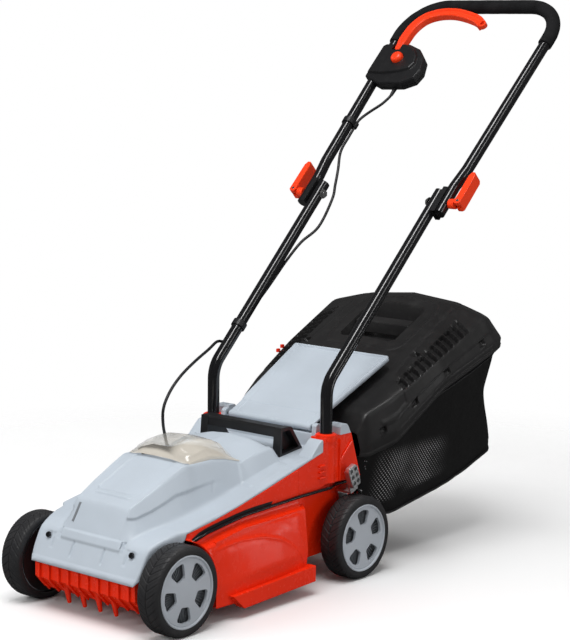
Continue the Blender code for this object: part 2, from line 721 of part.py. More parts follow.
def cover_shape():
    outer = cover_solid(-0.060, COVER_END)
    inner = cover_solid(-0.060 + COVER_WALL, COVER_END - COVER_WALL, COVER_WALL, 0.05)
    shell = cut(outer, inner)
    saddle_z, rear = 0.2303, 0.458
    top = COLUMN_TOP - 0.002
    outline = [(COVER_END - 0.004, saddle_z), (COVER_END - 0.004, flat_z(COVER_END - 0.004) - 0.0005),
               (HINGE_HOUSING, flat_z(HINGE_HOUSING)), (HINGE_HOUSING + 0.005, top), (rear - 0.010, top),
               (rear, top - 0.012), (rear, saddle_z)]
    housing = prism(outline, -FLAP_HALF, FLAP_HALF)
    hollow = block((-FLAP_HALF + 0.004, HINGE_HOUSING + 0.009, saddle_z - 0.02),
                   (FLAP_HALF - 0.004, rear - 0.014, top - 0.004))
    low_hollow = block((-FLAP_HALF + 0.004, COVER_END - 0.010, saddle_z - 0.02),
                       (FLAP_HALF - 0.004, HINGE_HOUSING + 0.010, flat_z(COVER_END) - 0.0035))
    ears = []
    for sign in (1, -1):
        ear = [(FLAP_Y - 0.009, top - 0.006), (FLAP_Y - 0.008, FLAP_Z + 0.005), (FLAP_Y - 0.003, FLAP_Z + 0.009),
               (FLAP_Y + 0.003, FLAP_Z + 0.009), (FLAP_Y + 0.008, FLAP_Z + 0.005), (FLAP_Y + 0.012, top - 0.006)]
        ears.append(prism(ear, sign * 0.1035, sign * 0.1140))
    shell = join(shell, cut(housing, hollow, low_hollow), *ears)
    bay = block((-BAY_HALF, BAY_FRONT, 0.18), (BAY_HALF, BAY_REAR, 0.30))
    pin = rod((-0.2, FLAP_Y, FLAP_Z), (0.2, FLAP_Y, FLAP_Z), 0.0025 + TOUCH, sides=12)
    screws = [rod(*screw_line(sign, 0.012, -0.025), 0.0036, sides=12) for sign in (1, -1)]
    cable_hole = rod(GLAND + GLAND_OUT * 0.02, GLAND - GLAND_OUT * 0.02, 0.0052, sides=16)
    return cut(shell, bay, pin, cable_hole, *screws)


def screw_line(sign, near, far):
    """Two points on the axis of an apron screw, by how far they stand out of its face."""
    low, high = COVER[1], COVER[2]
    face = Vector((0, high[0] - low[0], high[4] - low[4])).normalized()
    out = Vector((0, -face.z, face.y))
    spot = Vector((sign * 0.098, low[0] * 0.25 + high[0] * 0.75, low[4] * 0.25 + high[4] * 0.75))
    return spot + out * near, spot + out * far


def cover_screws():
    for side, sign in (("left", 1), ("right", -1)):
        head = rod(*screw_line(sign, 0.0012, 0.0042), 0.0055, 0.0045, sides=12)
        shank = rod(*screw_line(sign, 0.0020, -0.0095), 0.0030, sides=12)
        piece(f"cover_screw_{side}", join(head, shank), STEEL)


# Battery bay, pack and lid


def battery():
    floor, rim = 0.1865, 0.2425
    tray = cut(
        block((-BAY_HALF + TOUCH, BAY_FRONT + TOUCH, floor), (BAY_HALF - TOUCH, BAY_REAR - TOUCH, rim)),
        block((-BAY_HALF + 0.003, BAY_FRONT + 0.003, floor + 0.003), (BAY_HALF - 0.003, BAY_REAR - 0.003, rim + 0.02)),
    )
    piece("battery_tray", tray, BLACK)
    low, y0, y1 = floor + 0.003 + TOUCH, BAY_FRONT + 0.004, BAY_REAR - 0.004
    body = block((-PACK_HALF, y0, low), (PACK_HALF, y1, low + PACK_HEIGHT * 0.75))
    crown = loft([
        [(x, y, z) for x, z in ((-PACK_HALF + 0.003, low + 0.03), (PACK_HALF - 0.003, low + 0.03),
                               (PACK_HALF - 0.003, low + PACK_HEIGHT - 0.006),
                               (PACK_HALF - 0.012, low + PACK_HEIGHT),
                               (-PACK_HALF + 0.012, low + PACK_HEIGHT),
                               (-PACK_HALF + 0.003, low + PACK_HEIGHT - 0.006))]
        for y in (y0 + 0.004, y1 - 0.012)
    ])
    piece("battery_pack", join(body, crown), BLACK, bevel=0.001)


LID_STATIONS = [(0.0, 0.0), (0.05, 0.42), (0.16, 0.82), (0.36, 1.0), (0.58, 0.97), (0.80, 0.68), (0.94, 0.28), (1.0, 0.0)]


def lid_ring(y, rise, inset=0.0, drop=0.0):
    """A section of the bubble lid, standing on the cover's top."""
    _, _, upper, _, _, upper_z, crest_z = between(COVER, y)
    wide = upper - 0.001 - inset
    base, middle = upper_z + TOUCH + 0.0002, crest_z + TOUCH + 0.0002
    height = 0.003 + LID_CROWN * rise - inset
    half = [
        (wide, y, base - drop), (wide, y, base + 0.003 + height * 0.10 - inset * 0.5),
        (wide * 0.86, y, base + 0.0005 + height * 0.55), (wide * 0.5, y, middle + height * 0.9 - 0.001),
        (0, y, middle + height),
    ]
    bottom = [(-wide * 0.5, y, base * 0.25 + middle * 0.75 - drop), (0, y, middle - drop),
              (wide * 0.5, y, base * 0.25 + middle * 0.75 - drop)]
    return half + [(-x, py, z) for x, py, z in reversed(half[:-1])] + bottom


def battery_lid():
    length = LID_REAR - LID_FRONT
    rings = [lid_ring(LID_FRONT + length * t, rise) for t, rise in LID_STATIONS]
    skin, inner_front, inner_rear = 0.002, LID_FRONT + 0.004, LID_REAR - 0.004
    inner_rings = [
        lid_ring(inner_front + (inner_rear - inner_front) * t, max(rise - 0.04, 0), skin, 0.02)
        for t, rise in LID_STATIONS[1:-1]
    ]
    shell = cut(loft(rings), loft(inner_rings))
    hinge = Vector((0, LID_FRONT, between(COVER, LID_FRONT)[6] + 0.002))
    piece("battery_lid", shell, CLEAR, hinge)
    rear_z = between(COVER, LID_REAR)[6]
    latch = join(
        block((-0.012, LID_REAR + TOUCH, rear_z + 0.0003), (0.012, LID_REAR + 0.004, rear_z + 0.009)),
        block((-0.009, LID_REAR + 0.003, rear_z + 0.004), (0.009, LID_REAR + 0.010, rear_z + 0.0075)),
    )
    piece("lid_latch", latch, CLEAR, hinge)


# Motor and blade


def motor():
    low = CEILING + CEILING_PLATE + TOUCH
    high = low + MOTOR_HEIGHT
    gap = SHAFT_RADIUS + RUNNING
    can = [
        (gap + 0.008, low), (MOTOR_RADIUS, low), (MOTOR_RADIUS, high - 0.006), (MOTOR_RADIUS - 0.006, high),
        (gap, high), (gap, high - 0.003), (0.028, high - 0.003), (0.028, low + 0.003), (gap + 0.008, low + 0.003),
    ]
    at = Vector((0, BLADE_Y, 0))
    piece("motor_housing", placed(turned(can), at), STEEL)
    bearing = [(SHAFT_RADIUS + TOUCH, CEILING), (0.012 - TOUCH, CEILING),
               (0.012 - TOUCH, CEILING + 0.0055), (SHAFT_RADIUS + TOUCH, CEILING + 0.0055)]
    piece("shaft_bearing", placed(turned(bearing, 32), at), STEEL)

    blade_top = BLADE_Z + BLADE_THICKNESS
    shaft = join(
        rod((0, BLADE_Y, 0.066), (0, BLADE_Y, high + 0.002), SHAFT_RADIUS, sides=16),
        rod((0, BLADE_Y, low + 0.010), (0, BLADE_Y, high - 0.010), 0.0265, sides=32),
    )
    piece("motor_rotor", shaft, STEEL, at)
    holder = [
        (0.0045, blade_top + TOUCH), (0.022, blade_top + TOUCH), (0.022, blade_top + 0.006), (0.013, blade_top + 0.014),
        (0.013, 0.094), (SHAFT_RADIUS + TOUCH, 0.094), (SHAFT_RADIUS + TOUCH, 0.0655), (0.0045, 0.0655),
    ]
    piece("blade_holder", placed(turned(holder, 32), at), STEEL, at)

    half, wide = BLADE_LENGTH / 2, BLADE_WIDTH / 2
    plate = block((-half, BLADE_Y - wide, BLADE_Z), (half, BLADE_Y + wide, blade_top))
    wings = []
    for sign in (1, -1):
        rear = BLADE_Y - sign * wide
        inner = rear + sign * 0.010
        outline = [(inner, BLADE_Z + 0.0002), (inner, blade_top - 0.0002), (rear, blade_top + 0.011),
                   (rear, BLADE_Z + 0.011)]
        wings.append(prism(outline, sign * (half - 0.060), sign * (half - 0.0002)))
    blade = cut(join(plate, *wings), rod((0, BLADE_Y, 0), (0, BLADE_Y, 0.1), 0.0043, sides=12))
    piece("cutting_blade", blade, STEEL, at)
    bolt = join(
        rod((0, BLADE_Y, BLADE_Z - 0.0085), (0, BLADE_Y, BLADE_Z - TOUCH), 0.010, sides=6),
        rod((0, BLADE_Y, BLADE_Z - 0.001), (0, BLADE_Y, 0.064), 0.0040, sides=12),
    )
    piece("blade_bolt", bolt, STEEL, at)
    floor = CEILING + CEILING_PLATE + TOUCH
    board = block((-0.045, 0.010, floor + 0.012), (0.045, 0.110, floor + 0.0138))
    feet = [rod((x, y, floor), (x, y, floor + 0.013), 0.004, sides=10)
            for x in (-0.038, 0.038) for y in (0.018, 0.102)]
    parts = [block((-0.030, 0.030, floor + 0.0130), (-0.005, 0.060, floor + 0.028)),
             rod((0.020, 0.045, floor + 0.013), (0.020, 0.045, floor + 0.038), 0.009, sides=16),
             block((-0.035, 0.075, floor + 0.0130), (0.035, 0.095, floor + 0.022))]
    piece("controller_board", join(board, *feet, *parts), BOARD)


# Carry handle


def carry_handle():
    half, top, thick = 0.0955, 0.281, 0.0175
    front, rear = 0.3265, 0.3880
    bar = prism([(0.331, top - thick), (0.331, top - 0.003), (0.334, top), (0.354, top), (0.358, top - 0.003),
                 (0.358, top - thick)], -half + 0.001, half - 0.001)
    ends, recesses = [], []
    for sign in (1, -1):
        gap = FLAT_CROWN + TOUCH
        outline = [(front, flat_z(front) + gap), (rear, flat_z(rear) + gap), (0.3585, top - 0.0005),
                   (0.3305, top - 0.0005)]
        inner = [(front + 0.006, flat_z(front) + 0.005), (rear - 0.009, flat_z(rear) + 0.0035),
                 (0.3535, top - 0.006), (0.3335, top - 0.006)]
        ends.append(prism(outline, sign * (half - 0.017), sign * half))
        recesses.append(prism(inner, sign * (half - 0.014), sign * (half + 0.01)))
    piece("carry_handle", cut(join(bar, *ends), *recesses), BLACK)


# Handle tubes


def tube(path):
    """An open tube along a path, its bore running out through both ends."""
    first, last = (path[0] - path[1]).normalized(), (path[-1] - path[-2]).normalized()
    bore = [path[0] + first * 0.005, *path[1:-1], path[-1] + last * 0.005]
    return cut(piped(path, TUBE_RADIUS), piped(bore, TUBE_RADIUS - TUBE_WALL, 3))


def bolt_bore(sign, radius):
    return rod((sign * 0.10, JOINT_Y, JOINT_Z), (sign * 0.22, JOINT_Y, JOINT_Z), radius, sides=16)


def lower_tubes():
    for side, sign in (("left", 1), ("right", -1)):
        foot = Vector((sign * SOCKET_X, SOCKET_Y, SOCKET_FLOOR + TOUCH))
        bend = Vector((sign * SOCKET_X, SOCKET_Y, BEND_Z))
        pin = Vector((sign * JOINT_LOWER_X, JOINT_Y, JOINT_Z))
        end = pin + (pin - bend).normalized() * 0.026
        path = rounded([foot, bend, end], 0.055)
        shape = cut(tube(path), bolt_bore(sign, 0.0033))
        piece(f"lower_tube_{side}", shape, PAINTED)


def handle_point(x, s, h=0.0):
    """A point by its distance across, along and above the upper handle's plane."""
    return JOINT + WORLD_X * x + ALONG * s + ABOVE * h


def handle_path(start=-0.026):
    right = [handle_point(UPPER_JOINT_X, start), handle_point(UPPER_JOINT_X, 0.040),
             handle_point(UPPER_JOINT_X + 0.006, 0.085), handle_point(HANDLE_TOP_HALF, HANDLE_LENGTH)]
    left = [Vector((-p.x, p.y, p.z)) for p in reversed(right)]
    lead = rounded(right[:-1] + [right[-2].lerp(right[-1], 0.3)], 0.045, 3)[:-1]
    arch = rounded([right[-2].lerp(right[-1], 0.4), right[-1], left[0], left[0].lerp(left[1], 0.6)],
                   CORNER_RADIUS, 8)[1:-1]
    tail = [Vector((-p.x, p.y, p.z)) for p in reversed(lead)]
    return lead + arch + tail


def upper_handle():
    shape = cut(tube(handle_path()), bolt_bore(1, 0.0033), bolt_bore(-1, 0.0033))
    piece("upper_handle", shape, PAINTED, JOINT)
    right, left = handle_point(HANDLE_TOP_HALF, HANDLE_LENGTH), handle_point(-HANDLE_TOP_HALF, HANDLE_LENGTH)
    down = handle_point(UPPER_JOINT_X + 0.006, 0.085)
    down_left = Vector((-down.x, down.y, down.z))
    start = right.lerp(down, 0.245)
    route = [start, right, left, left.lerp(down_left, 0.245)]
    arch = rounded(route, CORNER_RADIUS, 8)
    first, last = (arch[0] - arch[1]).normalized(), (arch[-1] - arch[-2]).normalized()
    bore = [arch[0] + first * 0.01, *arch[1:-1], arch[-1] + last * 0.01]
    piece("handle_grip", cut(piped(arch, GRIP_RADIUS), piped(bore, TUBE_RADIUS + TOUCH)), FOAM, JOINT)


def clamps():
    """The cradle, bolt and cam lever at each side of the fold."""
    web_low = JOINT_LOWER_X + TUBE_RADIUS + TOUCH
    web_high = web_low + CRADLE_WEB
    lip_low, lip_high = TUBE_RADIUS + TOUCH, TUBE_RADIUS + TOUCH + 0.002
    upper_out = UPPER_JOINT_X + TUBE_RADIUS
    boss_out = upper_out + TOUCH + 0.013
    pin_x = boss_out + 0.009
    for side, sign in (("left", 1), ("right", -1)):

        def slab(x0, x1, s0, s1, h0, h1):
            corners = ((x0, h0), (x1, h0), (x1, h1), (x0, h1))
            return loft([[handle_point(sign * x, s, h) for x, h in corners] for s in (s0, s1)])

        web = slab(web_low, web_high, -0.030, 0.030, -lip_high + 0.0001, lip_high - 0.0001)
        lips = [slab(web_low + 0.0002, web_high + 0.008, -0.0298, 0.0298, low, low + 0.002)
                for low in (lip_low, -lip_high)]
        cradle = cut(join(web, *lips), bolt_bore(sign, 0.0033))
        piece(f"cradle_{side}", cradle, BLACK, JOINT)

        nut_in = JOINT_LOWER_X - TUBE_RADIUS - 0.006
        bolt = join(
            rod((sign * (nut_in + 0.002), JOINT_Y, JOINT_Z), (sign * (pin_x - 0.003), JOINT_Y, JOINT_Z), 0.003, sides=12),
            rod((sign * nut_in, JOINT_Y, JOINT_Z), (sign * (nut_in + 0.006 - TOUCH), JOINT_Y, JOINT_Z), 0.0075, sides=6),
        )
        piece(f"clamp_bolt_{side}", bolt, STEEL, JOINT)
        boss = cut(
            rod((sign * (upper_out + TOUCH), JOINT_Y, JOINT_Z), (sign * boss_out, JOINT_Y, JOINT_Z), 0.0095),
            bolt_bore(sign, 0.0033),
        )
        piece(f"clamp_boss_{side}", boss, ORANGE, JOINT)

        pin = handle_point(sign * pin_x, 0)
        low, high = pin_x - 0.0085, pin_x + 0.0075
        outline = [(low + 0.0003, -0.0018), (low + 0.0037, -0.0066), (high - 0.0035, -0.0066), (high, -0.0030), (high, 0.062),
                   (high - 0.004, 0.070), (low + 0.006, 0.070), (low + 0.002, 0.060), (low + 0.002, 0.012)]
        paddle = loft([[handle_point(sign * x, s, h) for x, s in outline] for h in (-0.012, 0.012)])
        slot = slab(pin_x - 0.012, pin_x + 0.0056, -0.012, 0.008, -0.0038, 0.0038)
        hinge_pin = rod(handle_point(sign * pin_x, 0, -0.011), handle_point(sign * pin_x, 0, 0.011), 0.0026, sides=12)
        lever = join(cut(paddle, slot), hinge_pin)
        piece(f"cam_lever_{side}", lever, ORANGE, pin)


# Switch box, button and bail

BOX_FOOT = HANDLE_LENGTH - SWITCH_REACH
BOX_OUTLINE = [(x, BOX_FOOT + up) for x, up in (
    (-0.193, 0.017), (-0.193, 0.112), (-0.186, 0.118), (-0.128, 0.121), (-0.096, 0.106), (-0.070, 0.077),
    (-0.063, 0.028), (-0.081, 0.008), (-0.101, 0.0), (-0.148, 0.0))]
BAIL_PIVOT = (-0.150, BOX_FOOT + 0.108)
BUTTON_AT = (-0.128, BOX_FOOT + 0.072)


def plane_prism(outline, low_h, high_h):
    return loft([[handle_point(x, s, h) for x, s in outline] for h in (low_h, high_h)])


def plane_block(x0, x1, s0, s1, h0, h1):
    return plane_prism([(x0, s0), (x1, s0), (x1, s1), (x0, s1)], h0, h1)


def shrunk(outline, amount):
    """The outline drawn towards its middle, so that a case narrows away from its seam."""
    middle = Vector((sum(x for x, _ in outline), sum(s for _, s in outline))) / len(outline)
    moved = [Vector(point) + (middle - Vector(point)).normalized() * amount for point in outline]
    return [(point.x, point.y) for point in moved]


def left_tube(s):
    """Where the far tube's centre line stands across at a distance along."""
    share = (s - 0.085) / (HANDLE_LENGTH - 0.085)
    return -(UPPER_JOINT_X + 0.006) * (1 - share) - HANDLE_TOP_HALF * share


def switch_box():
    def groove():
        ends = [handle_point(left_tube(s), s) for s in (BOX_FOOT - 0.02, BOX_FOOT + 0.14)]
        return rod(*ends, TUBE_RADIUS + TOUCH)

    front, back = 0.021, -0.016
    rim = 0.0002
    cover = loft([[handle_point(x, s, h) for x, s in outline] for outline, h in
                  ((BOX_OUTLINE, rim), (BOX_OUTLINE, front - 0.006), (shrunk(BOX_OUTLINE, 0.006), front))])
    base = loft([[handle_point(x, s, h) for x, s in outline] for outline, h in
                 ((BOX_OUTLINE, -rim), (BOX_OUTLINE, back + 0.005), (shrunk(BOX_OUTLINE, 0.005), back))])
    px, ps = BAIL_PIVOT
    bx, bs = BUTTON_AT
    slot = plane_block(px - 0.0105, px + 0.0105, ps - 0.012, ps + 0.03, 0.0062, 0.05)
    room = plane_block(-0.150, -0.078, BOX_FOOT + 0.018, BOX_FOOT + 0.092, -0.01, front - 0.003)
    button_hole = rod(handle_point(bx, bs, 0.01), handle_point(bx, bs, 0.04), 0.0098)
    piece("switch_cover", cut(cover, groove(), room, slot, button_hole), BLACK, JOINT)
    low_room = plane_block(-0.150, -0.078, BOX_FOOT + 0.018, BOX_FOOT + 0.092, back + 0.003, 0.01)
    cable = rod(handle_point(CABLE_EXIT_X, BOX_FOOT - 0.010, CABLE_EXIT_H),
                handle_point(CABLE_EXIT_X, BOX_FOOT + 0.020, CABLE_EXIT_H), CABLE_RADIUS + 0.0006, sides=16)
    piece("switch_base", cut(base, groove(), low_room, cable), BLACK, JOINT)
    body = plane_block(-0.122, -0.098, BOX_FOOT + 0.032, BOX_FOOT + 0.062, back + 0.003 + TOUCH, 0.006)
    piece("power_switch", body, BLACK, JOINT)
    button = join(
        rod(handle_point(bx, bs, 0.0105), handle_point(bx, bs, front + 0.008), 0.0092),
        rod(handle_point(bx, bs, 0.0105), handle_point(bx, bs, front - 0.0033), 0.0115),
    )
    piece("safety_button", button, ORANGE, handle_point(bx, bs, front))


def bail():
    """The curved switch lever that lies inside the grip's far corner."""
    px, ps = BAIL_PIVOT
    height, half, thick = 0.0120, 0.0075, 0.0055
    line = [(px, -0.006), (px - 0.001, 0.027), (-0.147, 0.058), (-0.131, 0.085), (-0.101, 0.099), (-0.064, 0.101),
            (-0.028, 0.093), (0.003, 0.081), (0.020, 0.068)]
    spine = smooth([(x, ps + up, 0) for x, up in line], 0.012)
    rings = []
    for i, point in enumerate(spine):
        way = (spine[min(i + 1, len(spine) - 1)] - spine[max(i - 1, 0)]).normalized()
        side = Vector((-way.y, way.x, 0)) * half
        rings.append([handle_point(point.x + a * side.x, point.y + a * side.y, height + h)
                      for a, h in ((-1, -thick), (1, -thick), (1, thick * 0.4), (0.5, thick), (-0.5, thick), (-1, thick * 0.4))])
    low, high = height - thick * 0.9, height + thick * 0.9
    eye = rod(handle_point(0.020, ps + 0.068, low), handle_point(0.020, ps + 0.068, high), 0.0085)
    pivot = rod(handle_point(px, ps, low), handle_point(px, ps, high), 0.0085)
    piece("bail_lever", join(loft(rings), eye, pivot), ORANGE, handle_point(px, ps, height))


# Cable

CABLE_EXIT_X, CABLE_EXIT_H = -0.118, -0.007
CABLE_OFFSET = TUBE_RADIUS + CABLE_RADIUS + 2 * TOUCH


def shoulder_point(x, y):
    """A point of the cover's far shoulder, between its edge and the dome's foot."""
    edge, foot, _, shoulder_z, foot_z, _, _ = between(COVER, y)
    share = (edge + x) / (edge - foot)
    return Vector((x, y, shoulder_z + (foot_z - shoulder_z) * share))


GLAND = shoulder_point(-0.1205, 0.272)
GLAND_OUT = (shoulder_point(-0.1205, 0.282) - GLAND).cross(shoulder_point(-0.1105, 0.272) - GLAND).normalized()
if GLAND_OUT.z < 0:
    GLAND_OUT.negate()


def lower_point(distance, turn, gap=CABLE_OFFSET):
    """A place on the far lower tube's skin, by distance down from the fold and turn from inboard."""
    bend = Vector((-SOCKET_X, SOCKET_Y, BEND_Z))
    pin = Vector((-JOINT_LOWER_X, JOINT_Y, JOINT_Z))
    down = (bend - pin).normalized()
    inboard = (WORLD_X - down * down.x).normalized()
    under = inboard.cross(down).normalized()
    if under.z > 0:
        under.negate()
    turn = math.radians(turn)
    return pin + down * distance + (inboard * math.cos(turn) + under * math.sin(turn)) * gap


def upper_cable_point(s, gap=CABLE_OFFSET):
    return handle_point(left_tube(max(s, 0.085)) + gap * 0.75, s, -gap * 0.66)


FOLD_TOP, FOLD_FOOT = handle_point(-0.137, 0.045, -0.024), handle_point(-0.118, -0.060, -0.027)
CLIP_AT, CLIP_TURN = 0.330, 135


def cable_route():
    upper = [handle_point(CABLE_EXIT_X, 0.2795, CABLE_EXIT_H), handle_point(CABLE_EXIT_X - 0.0015, 0.269, -0.0072),
             handle_point(-0.129, 0.250, -0.0080), handle_point(-0.145, 0.232, -0.0090),
             handle_point(-0.1555, 0.218, -0.0093), handle_point(-0.1610, 0.208, -0.0095),
             upper_cable_point(0.199), upper_cable_point(0.190), upper_cable_point(0.180), upper_cable_point(0.160),
             upper_cable_point(0.120, CABLE_OFFSET + 0.001), handle_point(-0.147, 0.080, -0.018)]
    lower = [lower_point(0.110, 55, CABLE_OFFSET + 0.006), lower_point(0.160, 70, CABLE_OFFSET + 0.001),
             lower_point(0.220, 88), lower_point(0.280, 112), lower_point(0.310, 127), lower_point(0.322, 132),
             lower_point(CLIP_AT, CLIP_TURN), lower_point(0.338, 138), lower_point(0.352, 146, CABLE_OFFSET + 0.0007),
             lower_point(0.368, 160, CABLE_OFFSET + 0.0015)]
    loop = [(-0.1500, 0.4320, 0.3965), (-0.1445, 0.402, 0.3855), (-0.138, 0.356, 0.368), (-0.133, 0.315, 0.348),
            (-0.129, 0.284, 0.325), (-0.125, 0.263, 0.299), (-0.1225, 0.2585, 0.272)]
    return upper + [FOLD_TOP, handle_point(-0.126, 0.010, -0.027), FOLD_FOOT] + lower + loop + [
        GLAND + GLAND_OUT * 0.0270, GLAND + GLAND_OUT * 0.0165]


def cable():
    path = smooth(cable_route(), 0.012)
    top = min(range(len(path)), key=lambda i: (path[i] - FOLD_TOP).length)
    foot = min(range(len(path)), key=lambda i: (path[i] - FOLD_FOOT).length)
    runs = (("cable_upper", path[:top + 1]), ("cable_fold", path[top:foot + 1]), ("cable_lower", path[foot:]))
    for name, run in runs:
        run = [point.copy() for point in run]
        run[0] += (run[1] - run[0]).normalized() * 2 * TOUCH
        run[-1] += (run[-2] - run[-1]).normalized() * 2 * TOUCH
        made = curve_of(name, run, CABLE_RADIUS, 2)
        made.data.materials.append(BLACK)
        made.parent = FRAME
        MOWER.objects.link(made)
    gland = [(0.0015, -0.0055), (0.0047, -0.0055), (0.0047, 0.0010), (0.0080, 0.0010), (0.0080, 0.0035),
             (0.0048, 0.0055), (0.0036, 0.0158), (0.0015, 0.0158)]
    tilt = GLAND_OUT.to_track_quat("Z", "Y").to_matrix().to_4x4()
    piece("cable_gland", placed(turned(gland, 20), GLAND, tilt), BLACK)


def cable_clips():
    """Rings that hold the cable to the far tube, one on each handle."""
    upper = handle_point(left_tube(0.190), 0.190)
    upper_way = (handle_point(left_tube(0.21), 0.21) - handle_point(left_tube(0.18), 0.18)).normalized()
    upper_cable = upper_cable_point(0.190)
    middle = lower_point(CLIP_AT, 0, 0)
    lower_way = (lower_point(0.30, 0, 0) - lower_point(0.35, 0, 0)).normalized()
    lower_cable = lower_point(CLIP_AT, CLIP_TURN)
    for name, centre, way, wire, pivot in (
        ("cable_clip_upper", upper, upper_way, upper_cable, JOINT),
        ("cable_clip_lower", middle, lower_way, lower_cable, Vector()),
    ):
        half = way * 0.006
        band = join(rod(centre - half, centre + half, TUBE_RADIUS + 0.0028),
                    rod(wire - half, wire + half, CABLE_RADIUS + 0.0026, sides=16))
        far = way * 0.02
        ring = cut(band, rod(centre - far, centre + far, TUBE_RADIUS + TOUCH),
                   rod(wire - far, wire + far, CABLE_RADIUS + 2 * TOUCH, sides=16))
        piece(name, ring, BLACK, pivot)


# Rear flap


def rear_flap():
    way = Vector((0, math.cos(FLAP_ANGLE), math.sin(FLAP_ANGLE)))
    up = Vector((0, -math.sin(FLAP_ANGLE), math.cos(FLAP_ANGLE)))
    pivot = Vector((0, FLAP_Y, FLAP_Z))

    def slab(x0, x1, d0, d1, h0, h1, spread=0.0):
        rings = []
        for d, wide in ((d0, 0), (d1, spread)):
            rings.append([pivot + WORLD_X * x + way * d + up * h for x, h in
                          ((x0 - wide, h0), (x1 + wide, h0), (x1 + wide, h1), (x0 - wide, h1))])
        return loft(rings)

    neck = 0.098
    plate = slab(-neck, neck, 0.000, 0.040, 0.0005, 0.0050)
    wide = slab(-neck - 0.001, neck + 0.001, 0.030, FLAP_LENGTH, 0.0006, 0.0046, FLAP_HALF - neck - 0.001)
    end_lip = slab(-FLAP_HALF + 0.0005, FLAP_HALF - 0.0005, FLAP_LENGTH - 0.004, FLAP_LENGTH - 0.0002, 0.0008, 0.0085)
    sides = []
    for sign in (1, -1):
        ring = []
        for d, x in ((0.040, neck + 0.001), (FLAP_LENGTH - 0.001, FLAP_HALF - 0.0005)):
            ring.append([pivot + WORLD_X * (sign * px) + way * d + up * h for px, h in
                         ((x - 0.004, 0.0008), (x, 0.0008), (x, 0.0090), (x - 0.004, 0.0090))])
        sides.append(loft(ring))
    barrel = rod((-neck + 0.0002, *pivot.yz), (neck - 0.0002, *pivot.yz), 0.0062, sides=16)
    shape = join(plate, wide, end_lip, *sides, barrel)
    bore = rod((-0.2, *pivot.yz), (0.2, *pivot.yz), 0.0025 + TOUCH, sides=12)
    piece("rear_flap", cut(shape, bore), GREY, pivot)
    reach = 0.1136
    piece("flap_pin", rod((-reach, *pivot.yz), (reach, *pivot.yz), 0.0025, sides=12), STEEL)


def tower_caps():
    for side, sign in (("left", 1), ("right", -1)):
        low = TOWER_TOP + TOUCH
        rear_low, rear_high = rear_face(low) - 0.002, rear_face(0.279) - 0.004
        outline = [(0.430, low), (0.430, 0.276), (0.433, 0.280), (rear_high - 0.004, 0.280),
                   (rear_high, 0.276), (rear_low, low)]
        cap = prism(outline, sign * (FLAP_HALF + 0.004), sign * (SIDE_HALF + 0.001))
        hole = rod((sign * 0.134, 0.443, 0.272), (sign * 0.134, 0.443, 0.29), 0.003, sides=12)
        piece(f"tower_cap_{side}", cut(cap, hole), GREY, bevel=0.001)


# Grass box

# Station of the rim, half width and height of the rim, and of the upper edge, and heights of the
# skirt's top, the shoulder and the crown
LID = [
    (0.487, 0.146, 0.212, 0.140, 0.254, 0.226, 0.262, 0.266),
    (0.502, 0.157, 0.213, 0.146, 0.286, 0.234, 0.296, 0.300),
    (0.560, 0.176, 0.233, 0.164, 0.312, 0.256, 0.324, 0.328),
    (0.678, 0.192, 0.315, 0.178, 0.370, 0.334, 0.383, 0.387),
    (0.822, 0.206, 0.371, 0.184, 0.436, 0.391, 0.449, 0.453),
    (0.850, 0.201, 0.379, 0.172, 0.430, 0.396, 0.447, 0.451),
    (0.880, 0.166, 0.384, 0.142, 0.420, 0.400, 0.438, 0.441),
    (0.903, 0.112, 0.388, 0.096, 0.408, 0.400, 0.418, 0.420),
    (0.911, 0.080, 0.390, 0.070, 0.399, 0.395, 0.403, 0.404),
]


def box_lid():
    def ring(y, edge, rim_z, upper, upper_z, skirt_z, shoulder_z, crown_z, inset=0.0, drop=0.0):
        half = [(edge - inset, y, rim_z - drop), (edge + 0.003 - inset, y, skirt_z - inset),
                (upper - inset, y, upper_z - inset), (upper * 0.6, y, shoulder_z - inset), (0, y, crown_z - inset)]
        return half + [(-x, py, z) for x, py, z in reversed(half[:-1])]

    outer = loft([ring(*row) for row in LID])
    inner = loft([ring(row[0] + shift, *row[1:], BOX_WALL, 0.05)
                  for row, shift in zip(LID[:-1], (0.003, 0.002, 0.002, 0, -0.002, -0.003, -0.004, -0.004))])
    shell = cut(outer, inner)
    recess = loft([[(x, y, z + h) for x, y, z, h in
                    ((-w, y, base, 0), (w, y, base, 0), (w, y, base, 0.08), (-w, y, base, 0.08))]
                   for w, y, base in ((0.062, 0.690, 0.366), (0.062, 0.790, 0.400))])
    pan = loft([[(x, y, base + h) for x, h in ((-w, -0.003), (w, -0.003), (w, 0.040), (-w, 0.040))]
                for w, y, base in ((0.065, 0.686, 0.3645), (0.065, 0.794, 0.4005))])
    grip = prism([(0.738, 0.392), (0.756, 0.398), (0.756, 0.424), (0.738, 0.415)], -0.063, 0.063)
    lowered = loft([ring(row[0], row[1], row[2], row[3], *(z - 0.001 for z in row[4:])) for row in LID])
    pan = combined(pan, [lowered], "INTERSECT")
    shell = join(cut(join(shell, pan), recess), grip)
    holes = []
    for sign in (1, -1):
        for i in range(9):
            t = i / 8
            y = 0.600 + t * 0.165
            z = between(LID, y)[3]
            x = between(LID, y)[2] + 0.001
            holes.append(loft([[(sign * (x + a), y + b, z - 0.012 + c) for a, c in
                                ((-0.02, -0.008), (0.02, -0.008), (0.02, 0.006), (-0.02, 0.006))]
                               for b in (-0.0035, 0.0035)]))
    piece("box_lid", cut(shell, *holes), BLACK)


